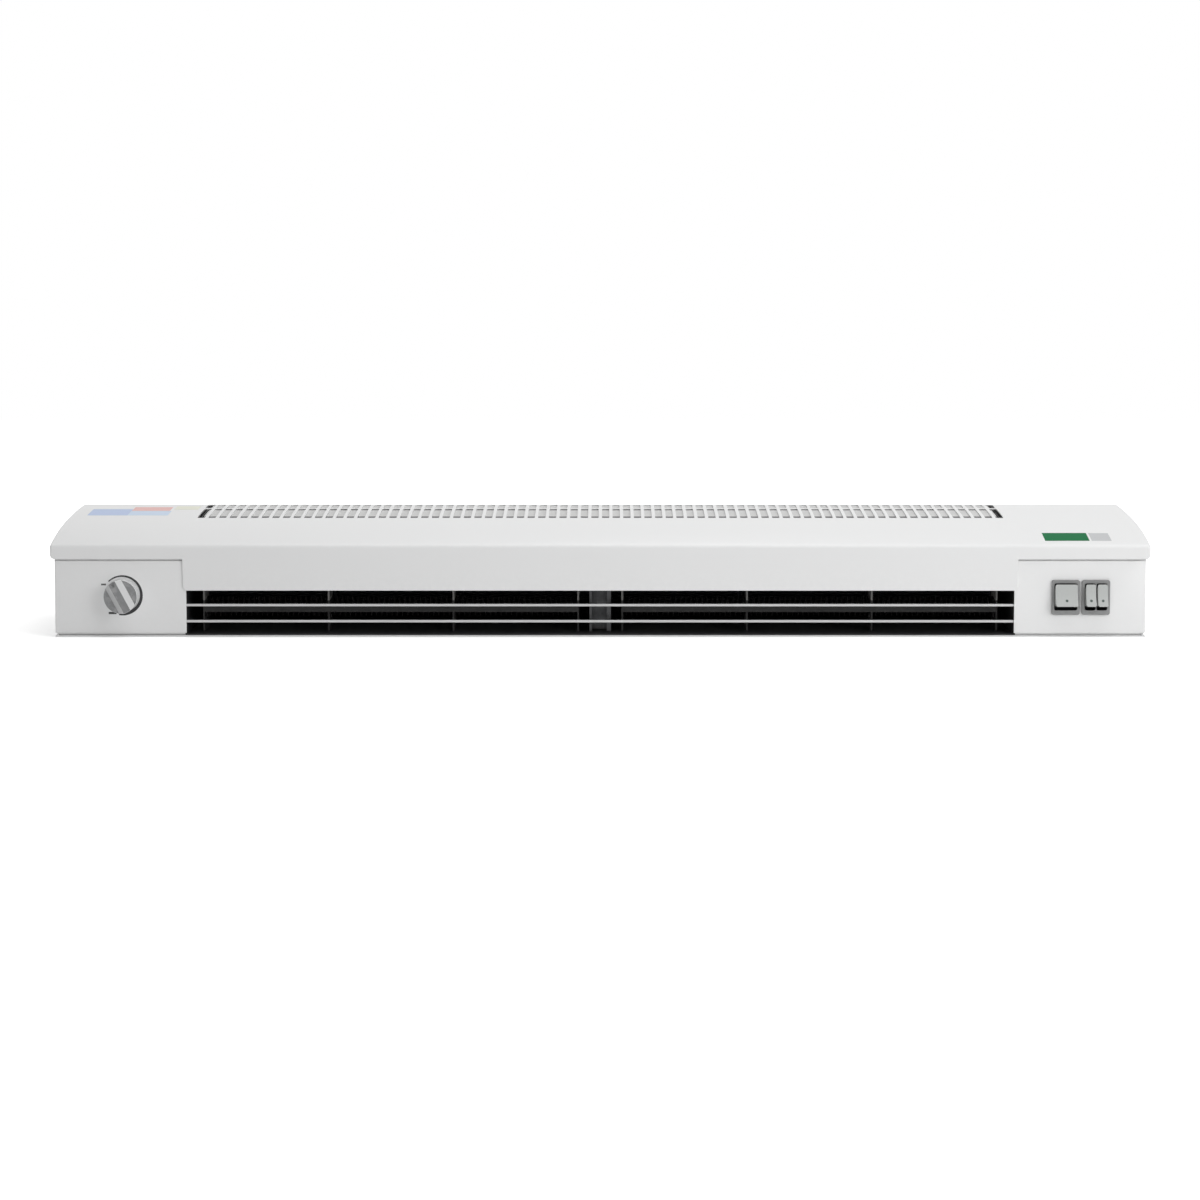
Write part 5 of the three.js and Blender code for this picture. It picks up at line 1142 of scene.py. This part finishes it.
def screw_shape():
    """A pan-head screw with a cross recess, drawn along +Z out of the sheet, its head on zero."""
    shape = bmesh.new()
    profile = [(0, -SCREW_LENGTH), (TIP_RADIUS, -SCREW_LENGTH), (SHANK_RADIUS, TIP_LENGTH - SCREW_LENGTH),
               (SHANK_RADIUS, 0)]
    profile += [(HEAD_RADIUS * share, z) for share, z in HEAD_PROFILE]
    verts = [shape.verts.new((r, 0, z)) for r, z in profile]
    edges = [shape.edges.new(pair) for pair in zip(verts, verts[1:])]
    bmesh.ops.spin(shape, geom=verts + edges, cent=(0, 0, 0), axis=(0, 0, 1), angle=2 * math.pi, steps=32)
    bmesh.ops.remove_doubles(shape, verts=shape.verts, dist=NEAR)
    bmesh.ops.recalc_face_normals(shape, faces=shape.faces)
    cross = bmesh.new()
    arm = ((RECESS_REACH, -RECESS_HALF), (RECESS_REACH, RECESS_HALF), (RECESS_HALF, RECESS_HALF))
    outline = []
    for quarter in range(4):
        turn = Matrix.Rotation(math.radians(90 * quarter), 2)
        outline += [tuple(turn @ Vector(p)) for p in arm]
    top = HEAD_PROFILE[-1][1]
    prism(cross, outline, "z", top - RECESS_DEPTH, top + 1)
    return boolean(shape, cross, "DIFFERENCE")


def make_screws():
    for name in [n for n in NODES if "screw" in n]:
        low, high = node_box(name)
        place = (low + high) / 2
        if name.startswith("cover"):
            turn = Matrix.Rotation(math.radians(-90), 4, "X")
            place.y = REAR + SCREW_SEAT
        else:
            side = 1 if place.x > 0 else -1
            turn = Matrix.Rotation(math.radians(90 * side), 4, "Y")
            place.x = side * (BOX_HIGH.x + SCREW_SEAT)
        shape = screw_shape()
        bmesh.ops.transform(shape, matrix=Matrix.Translation(place) @ turn, verts=shape.verts)
        piece(name + "_crosshead", shape, ZINC_PLATE, replaces=name, smooth=35)


# ---------------------------------------------------------------- stickers

FILM = 0.1  # a sticker's thickness
FILM_STEPS = 14
STICKERS = {  # finish, left and right edges, edges towards the outlet and towards the rear
    "blue_sticker": (BLUE_FILM, -484, -446.2, 15, 48),
    "light_blue_sticker": (LIGHT_BLUE_FILM, -446, -408, 15, 38),
    "red_sticker": (RED_FILM, -446, -410, 38.2, 60),
    "cream_sticker": (CREAM_FILM, -407, -384, 46, 66),
    "green_sticker": (GREEN_FILM, 405.5, 446, -72, -51.5),
    "grey_sticker": (GREY_FILM, 448, 466, -72, -52),
}


def make_stickers():
    """Plain films on the roof, each a thin closed slab that follows its curve."""
    for name, (finish, left, right, near, far) in STICKERS.items():
        ys = [near + (far - near) * i / FILM_STEPS for i in range(FILM_STEPS + 1)]
        roof = [(y, roof_height(y)) for y in ys]
        shape = bmesh.new()
        corners = ((left, FILM), (right, FILM), (right, 0), (left, 0))
        rows = [[shape.verts.new((x, y, z + lift)) for y, z in roof] for x, lift in corners]
        for a, b in zip(rows, rows[1:] + rows[:1]):
            for i in range(FILM_STEPS):
                shape.faces.new((a[i], a[i + 1], b[i + 1], b[i]))
        for i in (0, FILM_STEPS):
            shape.faces.new([line[i] for line in rows])
        bmesh.ops.recalc_face_normals(shape, faces=shape.faces)
        piece(name, shape, finish)


make_cover()
make_casing()
make_slot_backing()
make_outlet()
make_heater()
make_fan()
make_knob()
make_scale()
make_switches()
make_fittings()
make_screws()
make_stickers()


# ---------------------------------------------------------------- stage, light and camera, in metres

FLOOR_HALF = 3.0
FLOOR_DROP = 0.0002  # below the back plate
FLOOR_WHITE = (0.95, 0.95, 0.95, 1)
FLOOR_LIFT = 0.5  # what the camera sees of the floor over its own light, so that it reads white
FADE_FROM, FADE_TO = 0.30, 0.75  # distances over which the floor turns into the white behind it
FADE_SQUASH = (0.55, 1.0, 1.0)  # makes those distances longer along the unit
AMBIENT = 0.26  # of the white studio all round, as it lights the object
SOFTBOXES = {  # place, target, width and height, power
    "overhead softbox": ((0.2, 0.1, 1.7), (0, 0, 0), (2.6, 1.4), 19),
    "right softbox": ((1.6, -1.5, 0.9), (0.1, 0, 0.05), (1.2, 1.2), 18),
    "front fill": ((-0.6, -2.4, 0.7), (0, 0, 0.05), (2.0, 1.0), 4),
}
CAMERA_PLACE = (0.0025, -2.4964, 0.3511)
CAMERA_TILT, CAMERA_YAW = 0.0771, 0.0011
CAMERA_LENS = 80.24
CAMERA_SHIFT = -0.11925


def camera_ray(tree):
    """One where the ray comes from the camera, a mirror or glass."""
    path = tree.nodes.new("ShaderNodeLightPath").outputs
    some = math_node(tree, "ADD", path["Is Camera Ray"], path["Is Glossy Ray"])
    return math_node(tree, "ADD", some, path["Is Transmission Ray"], clamp=True)


def floor_material():
    """A matt white that keeps the object's shadow, is lifted for the camera and fades out far away."""
    made, tree, shader = base_material("Pale floor", Base_Color=FLOOR_WHITE, Roughness=1.0, Specular_IOR_Level=0.0)
    seen = camera_ray(tree)
    squashed = node(tree, "ShaderNodeVectorMath", {0: object_coordinates(tree), 1: FADE_SQUASH},
                    operation="MULTIPLY").outputs[0]
    distance = node(tree, "ShaderNodeVectorMath", {0: squashed}, operation="LENGTH").outputs["Value"]
    far = math_node(tree, "MULTIPLY", ramp(tree, distance, FADE_FROM, FADE_TO), seen)
    white = tree.nodes.new("ShaderNodeEmission").outputs[0]
    faded = node(tree, "ShaderNodeMixShader", {0: far, 1: shader.outputs[0], 2: white}).outputs[0]
    strength = math_node(tree, "MULTIPLY", seen, FLOOR_LIFT)
    lift = node(tree, "ShaderNodeEmission", {"Strength": strength}).outputs[0]
    mixed = node(tree, "ShaderNodeAddShader", {0: faded, 1: lift}).outputs[0]
    tree.links.new(mixed, tree.nodes["Material Output"].inputs["Surface"])
    return made


def make_stage():
    shape = bmesh.new()
    corners = ((-1, -1), (1, -1), (1, 1), (-1, 1))
    shape.faces.new([shape.verts.new((a * FLOOR_HALF, b * FLOOR_HALF, 0)) for a, b in corners])
    floor = as_object("floor", shape)
    floor.location.z = -FLOOR_DROP
    floor.data.materials.append(floor_material())


def make_light():
    for name, (place, target, size, power) in SOFTBOXES.items():
        data = bpy.data.lights.new(name, "AREA")
        data.shape = "RECTANGLE"
        data.size, data.size_y = size
        data.energy = power
        lamp = bpy.data.objects.new(name, data)
        lamp.location = place
        lamp.rotation_euler = (Vector(target) - Vector(place)).to_track_quat("-Z", "Y").to_euler()
        bpy.context.scene.collection.objects.link(lamp)
    world = bpy.data.worlds.new("studio")
    bpy.context.scene.world = world
    world.use_nodes = True
    tree = world.node_tree
    background = tree.nodes["Background"]
    background.inputs["Color"].default_value = (1, 1, 1, 1)
    seen = math_node(tree, "MULTIPLY", camera_ray(tree), 1 - AMBIENT)
    tree.links.new(math_node(tree, "ADD", seen, AMBIENT), background.inputs["Strength"])


def make_camera():
    data = bpy.data.cameras.new("camera")
    data.lens = CAMERA_LENS
    data.shift_y = CAMERA_SHIFT
    camera = bpy.data.objects.new("camera", data)
    camera.location = CAMERA_PLACE
    camera.rotation_euler = (math.pi / 2 - CAMERA_TILT, 0, CAMERA_YAW)
    bpy.context.scene.collection.objects.link(camera)
    bpy.context.scene.camera = camera
    bpy.context.scene.view_settings.view_transform = "Standard"


make_stage()
make_light()
make_camera()
